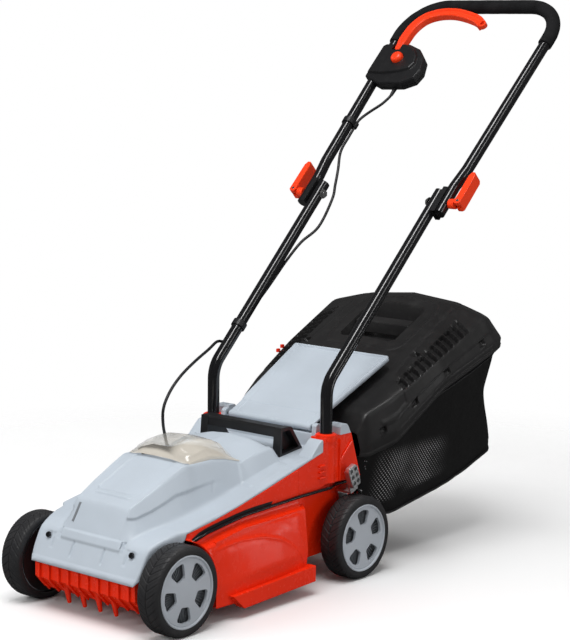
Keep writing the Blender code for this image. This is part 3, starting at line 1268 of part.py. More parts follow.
# Ring of the bag: upper station, half width, height, then lower station, half width, height
BAG = [
    (None, 0.140, 0.2105, None, 0.121, 0.088),
    (0.564, 0.172, 0.2325, 0.590, 0.140, 0.080),
    (0.678, 0.188, 0.3145, 0.700, 0.150, 0.102),
    (0.760, 0.196, 0.3455, 0.780, 0.153, 0.121),
    (0.836, 0.199, 0.3745, 0.862, 0.152, 0.143),
    (0.876, 0.165, 0.3825, 0.893, 0.136, 0.158),
    (0.902, 0.107, 0.3870, 0.912, 0.092, 0.182),
]


def box_bag():
    def ring(row, inset=0.0, rise=0.0, forward=0.0):
        y_top, top, z_top, y_low, low, z_low = row
        mouth = y_top is None
        waist_z = z_top * 0.5 + z_low * 0.5
        waist = MOUTH_HALF if mouth else top * 0.5 + low * 0.5 - 0.003
        half = []
        for x, z in ((low - 0.018, z_low - 0.004), (low, z_low + 0.012), (waist, waist_z), (top, z_top)):
            if mouth:
                y = rear_face(z) + 0.0092
            else:
                y = y_low + (y_top - y_low) * (z - z_low) / (z_top - z_low)
            lift = inset if z < waist_z else 0
            half.append((x - inset, y - forward, z + lift + (rise if z == z_top else 0)))
        return both_sides(half)

    outer = loft([ring(row) for row in BAG])
    front = ring(BAG[0], BAG_WALL, 0.03, 0.02)
    inner = loft([front] + [ring(row, BAG_WALL, 0.03) for row in BAG[1:-1]]
                 + [ring(tuple(v - 0.006 if i in (0, 3) else v for i, v in enumerate(BAG[-1])), BAG_WALL, 0.03)])
    piece("box_bag", cut(outer, inner), FABRIC)


def box_frame():
    """The stiff ring round the bag's mouth, against the deck's rear face."""
    def ring(inset, gap):
        outline = ((MOUTH_HALF - 0.0045, 0.086 + inset), (MOUTH_HALF, 0.150), (MOUTH_HALF + 0.0125, 0.172),
                   (MOUTH_HALF + 0.0125, 0.2095 - inset))
        return both_sides([(x - inset, rear_face(z) + gap, z) for x, z in outline])

    outer = loft([ring(0, 0.0006), ring(0, 0.0087)])
    inner = loft([ring(0.011, -0.01), ring(0.011, 0.02)])
    piece("box_frame", cut(outer, inner), BLACK)


def build():
    piece("deck", deck_shape(), RED)
    piece("top_cover", cover_shape(), GREY)
    cover_screws()
    battery()
    battery_lid()
    motor()
    carry_handle()
    lower_tubes()
    upper_handle()
    clamps()
    switch_box()
    bail()
    cable()
    cable_clips()
    rear_flap()
    tower_caps()
    box_lid()
    box_bag()
    box_frame()
    height_setting()
    wheels()


build()
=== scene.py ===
"""Looks of a cordless lawn mower with a rear grass box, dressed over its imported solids.

X runs to the mower's own left, Y to the rear and Z up, in metres. Stations along Y are
measured from the front axle, as in the part's source; AXLE_Y brings them to the shared frame.
"""

import json
import math

import bmesh
import bpy
from bpy.props import FloatProperty, FloatVectorProperty, PointerProperty
from bpy.types import Operator, Panel, PropertyGroup
from mathutils import Matrix, Vector, noise
from mathutils.bvhtree import BVHTree

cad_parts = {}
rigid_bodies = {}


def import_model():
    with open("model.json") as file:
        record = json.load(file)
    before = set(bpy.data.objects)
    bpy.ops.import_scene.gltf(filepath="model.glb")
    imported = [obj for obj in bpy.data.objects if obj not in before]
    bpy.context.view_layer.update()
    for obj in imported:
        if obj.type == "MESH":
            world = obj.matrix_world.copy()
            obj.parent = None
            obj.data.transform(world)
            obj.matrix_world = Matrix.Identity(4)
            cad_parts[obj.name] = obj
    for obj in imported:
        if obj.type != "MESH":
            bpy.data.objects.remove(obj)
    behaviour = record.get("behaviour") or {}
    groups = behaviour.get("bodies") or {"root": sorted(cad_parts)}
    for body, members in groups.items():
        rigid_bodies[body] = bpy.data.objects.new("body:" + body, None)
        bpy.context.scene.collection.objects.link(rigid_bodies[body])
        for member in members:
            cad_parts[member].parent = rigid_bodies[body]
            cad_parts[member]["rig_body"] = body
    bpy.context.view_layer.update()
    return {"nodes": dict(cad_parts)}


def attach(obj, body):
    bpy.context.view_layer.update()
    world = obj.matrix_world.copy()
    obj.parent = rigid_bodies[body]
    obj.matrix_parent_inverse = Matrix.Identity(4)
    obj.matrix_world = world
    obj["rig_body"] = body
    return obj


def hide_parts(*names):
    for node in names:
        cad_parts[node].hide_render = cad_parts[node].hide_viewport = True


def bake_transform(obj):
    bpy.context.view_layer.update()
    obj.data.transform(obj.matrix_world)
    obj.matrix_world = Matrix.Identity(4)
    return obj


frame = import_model()

bl_info = {
    "name": "Cordless lawn mower",
    "version": (1, 0, 0),
    "blender": (4, 5, 0),
    "location": "3D View > Sidebar > Mower",
    "description": "Builds the looks of a cordless lawn mower over its packed solids",
    "category": "Add Mesh",
}

# Stations and sizes, as in the part's source
AXLE_Y = -0.50931
ORIGIN = Vector((0, AXLE_Y, 0))
WHEEL_RADIUS, TYRE_WIDTH, HUB_RADIUS = 0.075, 0.0445, 0.061
WHEELBASE, TRACK_HALF, STUB_RADIUS = 0.459, 0.184, 0.0055
TUBE_RADIUS, GRIP_RADIUS, CABLE_RADIUS = 0.011, 0.014, 0.00275
TOUCH = 0.0003
SOCKET_X, SOCKET_Y, SOCKET_FLOOR, COLUMN_TOP, BEND_Z = 0.135, 0.406, 0.2045, 0.264, 0.354
JOINT_X, UPPER_JOINT_X = 0.1395, 0.1637
HANDLE_LENGTH, HANDLE_TOP_HALF, CORNER_RADIUS = 0.520, 0.184, 0.085
FOLD = math.radians(44.7)
JOINT = Vector((0, 0.710, 0.658))
ALONG = Vector((0, math.cos(FOLD), math.sin(FOLD)))
ABOVE = Vector((0, -math.sin(FOLD), math.cos(FOLD)))
FLAP_PIVOT = Vector((0, 0.412, 0.271))
FLAP_LEAN, FLAP_LENGTH = math.radians(25.8), 0.230
FLARE_X, FLARE_S = UPPER_JOINT_X + 0.006, 0.085
CRANK_LENGTH, CRANK_DROP, CRANK_Z = 0.042, 0.016, 0.059
CRANK_REACH = CRANK_LENGTH * math.cos(math.asin(CRANK_DROP / CRANK_LENGTH))

# Values of the looks alone: counts on a wheel, places on the handle's plane, the opening of the
# battery bay and the reach over which the cover's stations are eased
TREAD_BLOCKS, HUB_WINDOWS, HUB_RIBS = 34, 5, 60
BUTTON, BAIL_PIVOT, BAIL_LOOP = (-0.131, 0.3515), (-0.150, 0.388), (0.020, 0.456)
BAY_HALF, BAY_FRONT, BAY_REAR = 0.066, 0.1270, 0.2250
COVER_EASE = 0.0055

# Camera solved from the photo: place from the front axle, turns in degrees, focal length in pixels
CAMERA_AT = Vector((2.2031, -2.1426, 0.9535))
CAMERA_TURNS = (40.362, 8.408, 0.621)
FOCAL_PIXELS, PHOTO_HEIGHT, SENSOR = 1894.1, 640, 36

# Shares of a reach and their weights, for rounding the corners of a table or a line
EASING = ((-0.9, 1), (-0.6, 2), (-0.3, 3), (0, 3), (0.3, 3), (0.6, 2), (0.9, 1))
EASING_TOTAL = 15

# Lower edge of the cover, by station
SEAM = [(-0.060, 0.084), (-0.020, 0.128), (0.0, 0.138), (0.012, 0.138), (0.028, 0.139), (0.0335, 0.143),
        (0.0365, 0.1580), (0.104, 0.169), (0.161, 0.181), (0.242, 0.201), (0.340, 0.227), (0.385, 0.239)]

# Station, half widths of the edge, the dome's foot and its upper edge, heights of the shoulder,
# the foot, the upper edge and the crest
COVER = [
    (-0.0601, 0.119, 0.066, 0.060, 0.0842, 0.0842, 0.0842, 0.0842),
    (-0.0600, 0.119, 0.066, 0.060, 0.0875, 0.0880, 0.0885, 0.0885),
    (-0.0520, 0.126, 0.066, 0.060, 0.1040, 0.1045, 0.1050, 0.1050),
    (-0.0360, 0.128, 0.068, 0.062, 0.1360, 0.1370, 0.1380, 0.1380),
    (-0.0280, 0.1285, 0.080, 0.060, 0.1430, 0.1445, 0.1550, 0.1560),
    (-0.0100, 0.1320, 0.085, 0.059, 0.1510, 0.1530, 0.1920, 0.1930),
    (0.0100, 0.1370, 0.089, 0.0615, 0.1565, 0.1580, 0.2015, 0.2030),
    (0.0300, 0.1388, 0.095, 0.0640, 0.1605, 0.1620, 0.2110, 0.2130),
    (0.0365, 0.1482, 0.097, 0.0648, 0.1620, 0.1635, 0.2140, 0.2165),
    (0.0780, 0.1482, 0.102, 0.0690, 0.1700, 0.1710, 0.2320, 0.2360),
    (0.1120, 0.1482, 0.102, 0.0710, 0.1750, 0.1780, 0.2465, 0.2515),
    (0.1280, 0.1482, 0.102, 0.0715, 0.1780, 0.1810, 0.2460, 0.2525),
    (0.1700, 0.1482, 0.103, 0.0780, 0.1870, 0.1900, 0.2495, 0.2540),
    (0.2000, 0.1482, 0.1035, 0.0810, 0.1950, 0.1980, 0.2455, 0.2550),
    (0.2360, 0.1482, 0.104, 0.0830, 0.2040, 0.2070, 0.2355, 0.2560),
    (0.2620, 0.1482, 0.105, 0.0880, 0.2110, 0.2140, 0.2415, 0.2590),
    (0.3000, 0.1482, 0.107, 0.0930, 0.2210, 0.2240, 0.2485, 0.2640),
    (0.3110, 0.1482, 0.109, 0.0955, 0.2240, 0.2265, 0.2480, 0.2630),
    (0.3175, 0.1482, 0.112, 0.1000, 0.2260, 0.2285, 0.2290, 0.2295),
    (0.3820, 0.1482, 0.112, 0.1000, 0.2420, 0.2370, 0.2372, 0.2373),
]

# Station, half widths and heights of the deck's side: lower edge, belly, brow, shelf and upper wall
FLANK = [
    (0.0350, 0.1395, 0.1395, 0.1395, 0.1395, 0.1395, 0.028, 0.066, 0.098, 0.128, 0.166),
    (0.0375, 0.1640, 0.1650, 0.1645, 0.1635, 0.1482, 0.028, 0.066, 0.098, 0.128, 0.166),
    (0.0770, 0.1705, 0.1722, 0.1698, 0.1660, 0.1482, 0.028, 0.066, 0.106, 0.134, 0.167),
    (0.0850, 0.1712, 0.1733, 0.1700, 0.1662, 0.1482, 0.027, 0.066, 0.110, 0.136, 0.168),
    (0.1100, 0.1720, 0.1752, 0.1710, 0.1660, 0.1482, 0.027, 0.066, 0.116, 0.141, 0.170),
    (0.1610, 0.1725, 0.1785, 0.1708, 0.1640, 0.1482, 0.026, 0.070, 0.122, 0.148, 0.181),
    (0.2420, 0.1725, 0.1785, 0.1705, 0.1640, 0.1482, 0.032, 0.074, 0.126, 0.149, 0.201),
    (0.2950, 0.1710, 0.1745, 0.1690, 0.1635, 0.1482, 0.038, 0.076, 0.118, 0.150, 0.215),
    (0.3190, 0.1680, 0.1700, 0.1660, 0.1610, 0.1482, 0.042, 0.076, 0.112, 0.151, 0.221),
    (0.3270, 0.1215, 0.1215, 0.1215, 0.1215, 0.1215, 0.044, 0.076, 0.112, 0.153, 0.223),
]

# Station, half width and height of the rim, of the upper edge, heights of the skirt, shoulder, crown
BOX_LID = [
    (0.487, 0.146, 0.212, 0.140, 0.254, 0.226, 0.262, 0.266),
    (0.502, 0.157, 0.213, 0.146, 0.286, 0.234, 0.296, 0.300),
    (0.560, 0.176, 0.233, 0.164, 0.312, 0.256, 0.324, 0.328),
    (0.678, 0.192, 0.315, 0.178, 0.370, 0.334, 0.384, 0.391),
    (0.822, 0.206, 0.371, 0.184, 0.437, 0.391, 0.455, 0.464),
    (0.850, 0.201, 0.379, 0.172, 0.432, 0.396, 0.453, 0.463),
    (0.880, 0.168, 0.384, 0.144, 0.422, 0.400, 0.443, 0.451),
    (0.903, 0.114, 0.388, 0.098, 0.409, 0.400, 0.421, 0.425),
    (0.911, 0.080, 0.390, 0.070, 0.399, 0.395, 0.403, 0.404),
    (0.9112, 0.080, 0.390, 0.070, 0.392, 0.391, 0.392, 0.392),
]

# Upper station, half width and height of the bag, then its lower station, half width and height
BAG = [
    (0.489, 0.140, 0.2105, 0.530, 0.121, 0.088),
    (0.564, 0.172, 0.2325, 0.590, 0.140, 0.080),
    (0.678, 0.188, 0.3145, 0.700, 0.150, 0.102),
    (0.760, 0.196, 0.3455, 0.788, 0.157, 0.121),
    (0.836, 0.199, 0.3745, 0.884, 0.163, 0.147),
    (0.876, 0.165, 0.3825, 0.906, 0.142, 0.160),
    (0.902, 0.107, 0.3870, 0.915, 0.094, 0.176),
    (0.909, 0.055, 0.3885, 0.917, 0.050, 0.186),
    (0.910, 0.004, 0.3890, 0.918, 0.004, 0.187),
]

# Stations of the clear lid, its height at the crown and its rise by share of its length
LID_FRONT, LID_REAR, LID_CROWN = 0.116, 0.236, 0.0245
LID_RISE = [(0.0, 0.0), (0.05, 0.42), (0.16, 0.82), (0.36, 1.0), (0.58, 0.97), (0.80, 0.68), (0.94, 0.28), (1.0, 0.0)]

# Outlines of the switch box and the line of the bail, across and along the handle's plane
BOX_OUTLINE = [(-0.193, 0.307), (-0.193, 0.392), (-0.186, 0.398), (-0.128, 0.399), (-0.097, 0.386),
               (-0.073, 0.361), (-0.063, 0.328), (-0.069, 0.305), (-0.096, 0.290), (-0.150, 0.288)]
BOX_PANEL = [(-0.187, 0.314), (-0.187, 0.387), (-0.181, 0.392), (-0.132, 0.392), (-0.106, 0.380),
             (-0.090, 0.362), (-0.084, 0.341), (-0.090, 0.327), (-0.112, 0.318), (-0.148, 0.313)]
BAIL_SPINE = [(-0.150, 0.384), (-0.151, 0.415), (-0.147, 0.446), (-0.131, 0.473), (-0.101, 0.487),
              (-0.064, 0.489), (-0.028, 0.481), (0.003, 0.469), (0.020, 0.456)]

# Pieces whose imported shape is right: node, finish, width of the rounded edges, least turn of an edge in degrees
PAIRED = [
    ("tower_cap", "grey_plastic", 0.0010, 30), ("cam_lever", "orange_plastic", 0.0012, 30),
    ("clamp_boss", "orange_plastic", 0.0010, 40), ("cradle", "black_plastic", 0.0005, 30),
    ("clamp_bolt", "steel", 0.0005, 35), ("cover_screw", "dark_steel", 0.0004, 35),
]
SOFTENED = [
    ("carry_handle", "black_plastic", 0.0009, 30),
    *((f"{node}_{side}", *row) for node, *row in PAIRED for side in ("left", "right")),
    ("height_lever", "zinc", 0.0005, 35), ("cable_gland", "black_plastic", 0.0004, 35),
    ("cable_clip_upper", "black_plastic", 0.0005, 35), ("cable_clip_lower", "black_plastic", 0.0005, 35),
    ("battery_pack", "black_plastic", 0.0006, 35), ("battery_tray", "tray_plastic", 0.0005, 35),
    ("box_frame", "black_plastic", 0.0008, 35), ("lid_latch", "clear_lid", 0.0006, 35),
]
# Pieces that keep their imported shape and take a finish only
FINISHED = {
    "motor_housing": "steel", "motor_rotor": "steel", "shaft_bearing": "steel", "blade_holder": "steel",
    "cutting_blade": "steel", "blade_bolt": "dark_steel", "controller_board": "circuit_board",
    "front_axle": "steel", "rear_axle": "steel", "front_link_arm": "steel", "flap_pin": "dark_steel",
    "power_switch": "black_plastic",
}


# Curves and tables


def between(table, y):
    """The row of a table at a station, on straight lines between its rows."""
    if y <= table[0][0]:
        return table[0][1:]
    for near, far in zip(table, table[1:]):
        if y <= far[0]:
            share = (y - near[0]) / (far[0] - near[0])
            return tuple(a + (b - a) * share for a, b in zip(near[1:], far[1:]))
    return table[-1][1:]


def eased(table, y, reach):
    """The row at a station with the table's corners rounded over a reach."""
    reach = min(reach, max(y - table[0][0], 0), max(table[-1][0] - y, 0))
    rows = [(between(table, y + reach * step), weight) for step, weight in EASING]
    return [sum(row[i] * weight for row, weight in rows) / EASING_TOTAL for i in range(len(rows[0][0]))]


def on_line(points, shares, t, reach):
    """A point on a polyline by its share, the corners rounded over a reach of shares."""
    reach = min(reach, t - shares[0], shares[-1] - t)
    total = Vector((0, 0, 0))
    for step, weight in EASING:
        s = t + reach * step
        for i in range(len(shares) - 1):
            if s <= shares[i + 1] or i == len(shares) - 2:
                k = (s - shares[i]) / (shares[i + 1] - shares[i])
                total += points[i].lerp(points[i + 1], min(max(k, 0), 1)) * weight
                break
    return total / EASING_TOTAL


def mirrored_line(points, shares, across, reach):
    """A point of a section given for its near half only; across runs from one edge to the other."""
    at = on_line(points, shares, 1 - abs(across - 0.5) * 2, reach)
    return Vector((at.x if across < 0.5 else -at.x, at.y, at.z))


def rise(low, high, value):
    """A soft step from 0 to 1 between two values."""
    t = min(max((value - low) / (high - low), 0), 1)
    return t * t * (3 - 2 * t)


def inside(x, y, half_x, half_y, radius, edge):
    """1 well inside a rounded rectangle about the origin and 0 outside it, soft over an edge."""
    dx, dy = abs(x) - half_x + radius, abs(y) - half_y + radius
    away = math.hypot(max(dx, 0), max(dy, 0)) + min(max(dx, dy), 0) - radius
    return 1 - rise(-edge, edge, away)


def rounded(points, radius, steps=12):
    """The path through the points with its corners turned as arcs."""
    points = [Vector(point) for point in points]
    path = [points[0]]
    for before, corner, after in zip(points, points[1:], points[2:]):
        back, on = (before - corner).normalized(), (after - corner).normalized()
        half = back.angle(on) / 2
        centre = corner + (back + on).normalized() * radius / math.sin(half)
        first = (corner + back * radius / math.tan(half) - centre).normalized()
        last = (corner + on * radius / math.tan(half) - centre).normalized()
        path += [centre + first.slerp(last, i / steps) * radius for i in range(steps + 1)]
    return path + [points[-1]]


def flowing(points, spacing):
    """Points about a spacing apart on a smooth curve through the points."""
    points = [Vector(point) for point in points]
    points = [2 * points[0] - points[1]] + points + [2 * points[-1] - points[-2]]
    path = [points[1]]
    for a, b, c, d in zip(points, points[1:], points[2:], points[3:]):
        count = max(1, round((c - b).length / spacing))
        for i in range(1, count + 1):
            t = i / count
            path.append(0.5 * (2 * b + (c - a) * t + (2 * a - 5 * b + 4 * c - d) * t**2
                               + (3 * b - a - 3 * c + d) * t**3))
    return path


def circle(radius, sides=32):
    """The points of a circle about the origin."""
    turns = (2 * math.pi * i / sides for i in range(sides))
    return [(radius * math.cos(turn), radius * math.sin(turn)) for turn in turns]


def returned(path):
    """The mirror image of a path across X, run from its end to its start."""
    return [Vector((-point.x, point.y, point.z)) for point in reversed(path)]


def facing(way, up):
    """The turn that brings Y to a way and Z to its upward side."""
    return Matrix((Vector((1, 0, 0)), way, up)).transposed().to_4x4()


def handle_point(x, s, h=0.0):
    """A point by its distance across, along and above the upper handle's plane."""
    return JOINT + Vector((x, 0, 0)) + ALONG * s + ABOVE * h


def seam(y):
    return between(SEAM, y)[0]


# Mesh tools


def block(low, high, edge=0.0, segments=2):
    """A box between two corners with rounded edges."""
    bm = bmesh.new()
    bmesh.ops.create_cube(bm, size=1)
    low, high = Vector(low), Vector(high)
    bmesh.ops.scale(bm, verts=bm.verts, vec=high - low)
    bmesh.ops.translate(bm, verts=bm.verts, vec=(low + high) / 2)
    if edge:
        round_edges(bm, edge, segments)
    return bm


def rod(start, end, radius, end_radius=None, sides=32):
    start, end = Vector(start), Vector(end)
    bm = bmesh.new()
    bmesh.ops.create_cone(bm, cap_ends=True, segments=sides, radius1=radius,
                          radius2=radius if end_radius is None else end_radius, depth=(end - start).length)
    turn = (end - start).to_track_quat("Z", "Y").to_matrix().to_4x4()
    bmesh.ops.transform(bm, matrix=Matrix.Translation((start + end) / 2) @ turn, verts=bm.verts)
    return bm


def turned(profile, steps):
    """An open or closed line of (radius, height) points, turned about Z."""
    bm = bmesh.new()
    points = [bm.verts.new((r, 0, z)) for r, z in profile]
    edges = [bm.edges.new(pair) for pair in zip(points, points[1:])]
    bmesh.ops.spin(bm, geom=points + edges, axis=(0, 0, 1), cent=(0, 0, 0), steps=steps, angle=2 * math.pi,
                   use_merge=True)
    bmesh.ops.remove_doubles(bm, verts=bm.verts, dist=1e-6)
    bmesh.ops.recalc_face_normals(bm, faces=bm.faces)
    return bm


def drawn(rings):
    """A first ring extruded through the others, each of as many points, and closed at both ends."""
    bm = bmesh.new()
    ring = [bm.verts.new(point) for point in rings[0]]
    edges = [bm.edges.new(pair) for pair in zip(ring, ring[1:] + ring[:1])]
    ends = [ring]
    for points in rings[1:]:
        known = set(ring)
        bmesh.ops.extrude_edge_only(bm, edges=edges)
        follow = []
        for vert in ring:
            beyond = [e.other_vert(vert) for e in vert.link_edges]
            follow.append(next(v for v in reversed(beyond) if v not in known and v not in seen(ends)))
        for vert, point in zip(follow, points):
            vert.co = point
        ends = [ends[0], ring, follow]
        edges = [bm.edges.get(pair) for pair in zip(follow, follow[1:] + follow[:1])]
        ring = follow
    bm.faces.new(ends[0])
    bm.faces.new(ring)
    bmesh.ops.recalc_face_normals(bm, faces=bm.faces)
    return bm


def seen(rings):
    return {vert for ring in rings for vert in ring}


def swept(path, section):
    """A closed section of (side, up) offsets, or a radius, carried along a path without twisting."""
    if isinstance(section, (int, float)):
        section = circle(section)
    path = [Vector(point) for point in path]
    way = (path[1] - path[0]).normalized()
    side = way.cross(Vector((0, 0, 1)) if abs(way.z) < 0.9 else Vector((1, 0, 0))).normalized()
    rings = []
    for i, point in enumerate(path):
        ahead = (path[min(i + 1, len(path) - 1)] - path[max(i - 1, 0)]).normalized()
        side = (side - ahead * side.dot(ahead)).normalized()
        up = side.cross(ahead)
        rings.append([point + side * a + up * b for a, b in section])
    return drawn(rings)


def prism(outline, low, high):
    """An outline of (y, z) points drawn out along X."""
    return drawn([[(x, y, z) for y, z in outline] for x in (low, high)])


def sheet(columns, rows, place, closed=False):
    """A grid whose points are put by their shares across and along."""
    bm = bmesh.new()
    bmesh.ops.create_grid(bm, x_segments=columns, y_segments=rows, size=0.5)
    low = min(v.co.x for v in bm.verts)
    span = -2 * low
    for vert in bm.verts:
        vert.co = place((vert.co.x - low) / span, (vert.co.y - low) / span)
    if closed:
        bmesh.ops.remove_doubles(bm, verts=bm.verts, dist=1e-6)
    bmesh.ops.recalc_face_normals(bm, faces=bm.faces)
    return bm


def face_out(bm, point, way):
    """Turns an open sheet so that its face nearest a point looks along a way."""
    bm.normal_update()
    bm.faces.ensure_lookup_table()
    nearest = min(bm.faces, key=lambda f: (f.calc_center_median() - Vector(point)).length)
    if nearest.normal.dot(Vector(way)) < 0:
        bmesh.ops.reverse_faces(bm, faces=bm.faces)
        bm.normal_update()


def carve(bm, depth_at):
    """Moves each point along its normal by what depth_at says."""
    bm.normal_update()
    moves = [(vert, vert.normal * depth_at(vert.co, vert.normal)) for vert in bm.verts]
    for vert, move in moves:
        vert.co += move


def round_edges(bm, width, segments=2, least=30):
    sharp = [e for e in bm.edges if len(e.link_faces) == 2 and e.calc_face_angle(0) > math.radians(least)]
    bmesh.ops.bevel(bm, geom=sharp, offset=width, offset_type="OFFSET", segments=segments, profile=0.5,
                    affect="EDGES", material=-1, clamp_overlap=True)
    return bm


def together(*shapes):
    """Several bmeshes as one."""
    first = shapes[0]
    for other in shapes[1:]:
        mesh = bpy.data.meshes.new("part")
        other.to_mesh(mesh)
        first.from_mesh(mesh)
        other.free()
        bpy.data.meshes.remove(mesh)
    return first


def placed(bm, matrix):
    bmesh.ops.transform(bm, matrix=matrix, verts=bm.verts)
    return bm


def mirrored(bm):
    """The shape and its mirror image across X."""
    twin = bm.copy()
    bmesh.ops.scale(twin, verts=twin.verts, vec=(-1, 1, 1))
    bmesh.ops.reverse_faces(twin, faces=twin.faces)
    return together(bm, twin)


def cut(bm, *tools):
    """The shape with the tools taken away."""
    holders = []
    for shape in (bm, *tools):
        bmesh.ops.triangulate(shape, faces=shape.faces)
        mesh = bpy.data.meshes.new("cut")
        shape.to_mesh(mesh)
        shape.free()
        holder = bpy.data.objects.new("cut", mesh)
        bpy.context.scene.collection.objects.link(holder)
        holders.append(holder)
    for tool in holders[1:]:
        change = holders[0].modifiers.new("cut", "BOOLEAN")
        change.operation, change.object, change.solver = "DIFFERENCE", tool, "EXACT"
    bpy.context.view_layer.update()
    mesh = bpy.data.meshes.new_from_object(holders[0].evaluated_get(bpy.context.evaluated_depsgraph_get()))
    result = bmesh.new()
    result.from_mesh(mesh)
    bmesh.ops.remove_doubles(result, verts=result.verts, dist=1e-6)
    bmesh.ops.dissolve_limit(result, angle_limit=math.radians(1), use_dissolve_boundaries=False,
                             verts=result.verts, edges=result.edges)
    bpy.data.meshes.remove(mesh)
    for holder in holders:
        data = holder.data
        bpy.data.objects.remove(holder)
        bpy.data.meshes.remove(data)
    return result


def from_solid(node, width, least):
    """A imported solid's shape with its triangles merged and its edges rounded."""
    bm = bmesh.new()
    bm.from_mesh(frame["nodes"][node].data)
    bmesh.ops.remove_doubles(bm, verts=bm.verts, dist=1e-6)
    bmesh.ops.dissolve_limit(bm, angle_limit=math.radians(1), use_dissolve_boundaries=False,
                             verts=bm.verts, edges=bm.edges)
    round_edges(bm, width, least=least)
    bmesh.ops.recalc_face_normals(bm, faces=bm.faces)
    return bm


def piece(name, bm, finish, body, replaces=(), at_axle=True, least=38, thick=0.0, weighted=True):
    """A finished piece of the mower, riding on its body."""
    if at_axle:
        bmesh.ops.translate(bm, verts=bm.verts, vec=ORIGIN)
    mesh = bpy.data.meshes.new(name)
    bm.to_mesh(mesh)
    bm.free()
    mesh.shade_smooth()
    mesh.set_sharp_from_angle(angle=math.radians(least))
    mesh.materials.append(bpy.data.materials[look_name(finish)])
    made = bpy.data.objects.new(name, mesh)
    bpy.context.scene.collection.objects.link(made)
    if thick:
        wall = made.modifiers.new("wall", "SOLIDIFY")
        wall.thickness, wall.offset = thick, -1
    if weighted:
        normals = made.modifiers.new("normals", "WEIGHTED_NORMAL")
        normals.keep_sharp = True
    if body:
        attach(made, body)
    if replaces:
        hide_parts(*([replaces] if isinstance(replaces, str) else replaces))
    finish in SLOTS
    return made


# Slot that each finish fills
SLOTS = {
    "red_plastic": "red_plastic", "orange_plastic": "orange_plastic", "tyre_rubber": "tyre_rubber",
    "grey_plastic": "grey_plastic", "hub_plastic": "grey_plastic", "painted_shade_grey": "grey_plastic",
    "black_plastic": "black_plastic", "lid_plastic": "black_plastic", "cable_rubber": "black_plastic",
    "tray_plastic": "black_plastic", "steel": "steel", "dark_steel": "steel", "zinc": "steel",
    "black_paint": "black_paint", "foam": "foam", "bag_fabric": "bag_fabric", "clear_lid": "clear_lid",
    "circuit_board": "circuit_board",
}


# Materials


class Wire:
    """A node's output, on which arithmetic adds Math nodes."""

    def __init__(self, finish, socket):
        self.finish, self.socket = finish, socket

    def reckon(self, operation, *values):
        return self.finish.node("ShaderNodeMath", {"operation": operation}, dict(enumerate(values)))

    def __add__(self, other):
        return self.reckon("ADD", self, other)

    def __radd__(self, other):
        return self.reckon("ADD", other, self)

    def __sub__(self, other):
        return self.reckon("SUBTRACT", self, other)

    def __rsub__(self, other):
        return self.reckon("SUBTRACT", other, self)

    def __mul__(self, other):
        return self.reckon("MULTIPLY", self, other)

    def __rmul__(self, other):
        return self.reckon("MULTIPLY", other, self)


def look_name(finish):
    """Name of a finish's material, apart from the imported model's own materials."""
    return f"mower {finish}"


class Finish:
    """A material under construction."""

    def __init__(self, name, colour):
        self.material = bpy.data.materials.new(look_name(name))
        self.material.use_nodes = True
        self.tree = self.material.node_tree
        self.shader = self.tree.nodes["Principled BSDF"]
        self.material.diffuse_color = (*colour, 1)
        self.place = self.node("ShaderNodeTexCoord", out="Object")

    def node(self, kind, settings=(), inputs=(), out=0):
        """Adds a node with its settings made first, then the values or links of its sockets."""
        made = self.tree.nodes.new(kind)
        for name, value in dict(settings).items():
            setattr(made, name, value)
        for key, value in dict(inputs).items():
            self.feed(made.inputs[key], value)
        return Wire(self, made.outputs[out])

    def feed(self, socket, value):
        if isinstance(value, Wire):
            self.tree.links.new(value.socket, socket)
        else:
            socket.default_value = value

    def noise(self, scale, detail=3.0, roughness=0.5, place=None):
        return self.node("ShaderNodeTexNoise", {}, {"Vector": place or self.place, "Scale": scale,
                                                   "Detail": detail, "Roughness": roughness})

    def spread(self, value, low, high, low_out=0.0, high_out=1.0):
        """A value's range brought to another range and clamped."""
        return self.node("ShaderNodeMapRange", {"clamp": True}, {
            "Value": value, "From Min": low, "From Max": high, "To Min": low_out, "To Max": high_out})

    def blend(self, share, first, second):
        """Two colours mixed by a share."""
        made = self.tree.nodes.new("ShaderNodeMix")
        made.data_type = "RGBA"
        self.feed(made.inputs["Factor"], share)
        for socket, value in ((made.inputs[6], first), (made.inputs[7], second)):
            self.feed(socket, value if isinstance(value, Wire) else (*value[:3], 1))
        return Wire(self, made.outputs[2])

    def stretched(self, x, y, z):
        return self.node("ShaderNodeMapping", {}, {"Vector": self.place, "Scale": (x, y, z)})

    def uv_parts(self, name):
        """The two values of a piece's own UV map."""
        parts = self.tree.nodes.new("ShaderNodeSeparateXYZ")
        self.feed(parts.inputs[0], self.node("ShaderNodeUVMap", {"uv_map": name}))
        return Wire(self, parts.outputs[0]), Wire(self, parts.outputs[1])

    def wave(self, value, count):
        """A sine of a value that is stretched by a count."""
        scaled = value * count
        return scaled.reckon("SINE", scaled)

    def bump(self, height, strength, distance):
        return self.node("ShaderNodeBump", {}, {"Height": height, "Strength": strength, "Distance": distance})

    def finish(self, **sockets):
        for name, value in sockets.items():
            self.feed(self.shader.inputs[name.replace("_", " ")], value)
        return self.material


def shade(colour, factor):
    return tuple(min(max(c * factor, 0), 1) for c in colour)


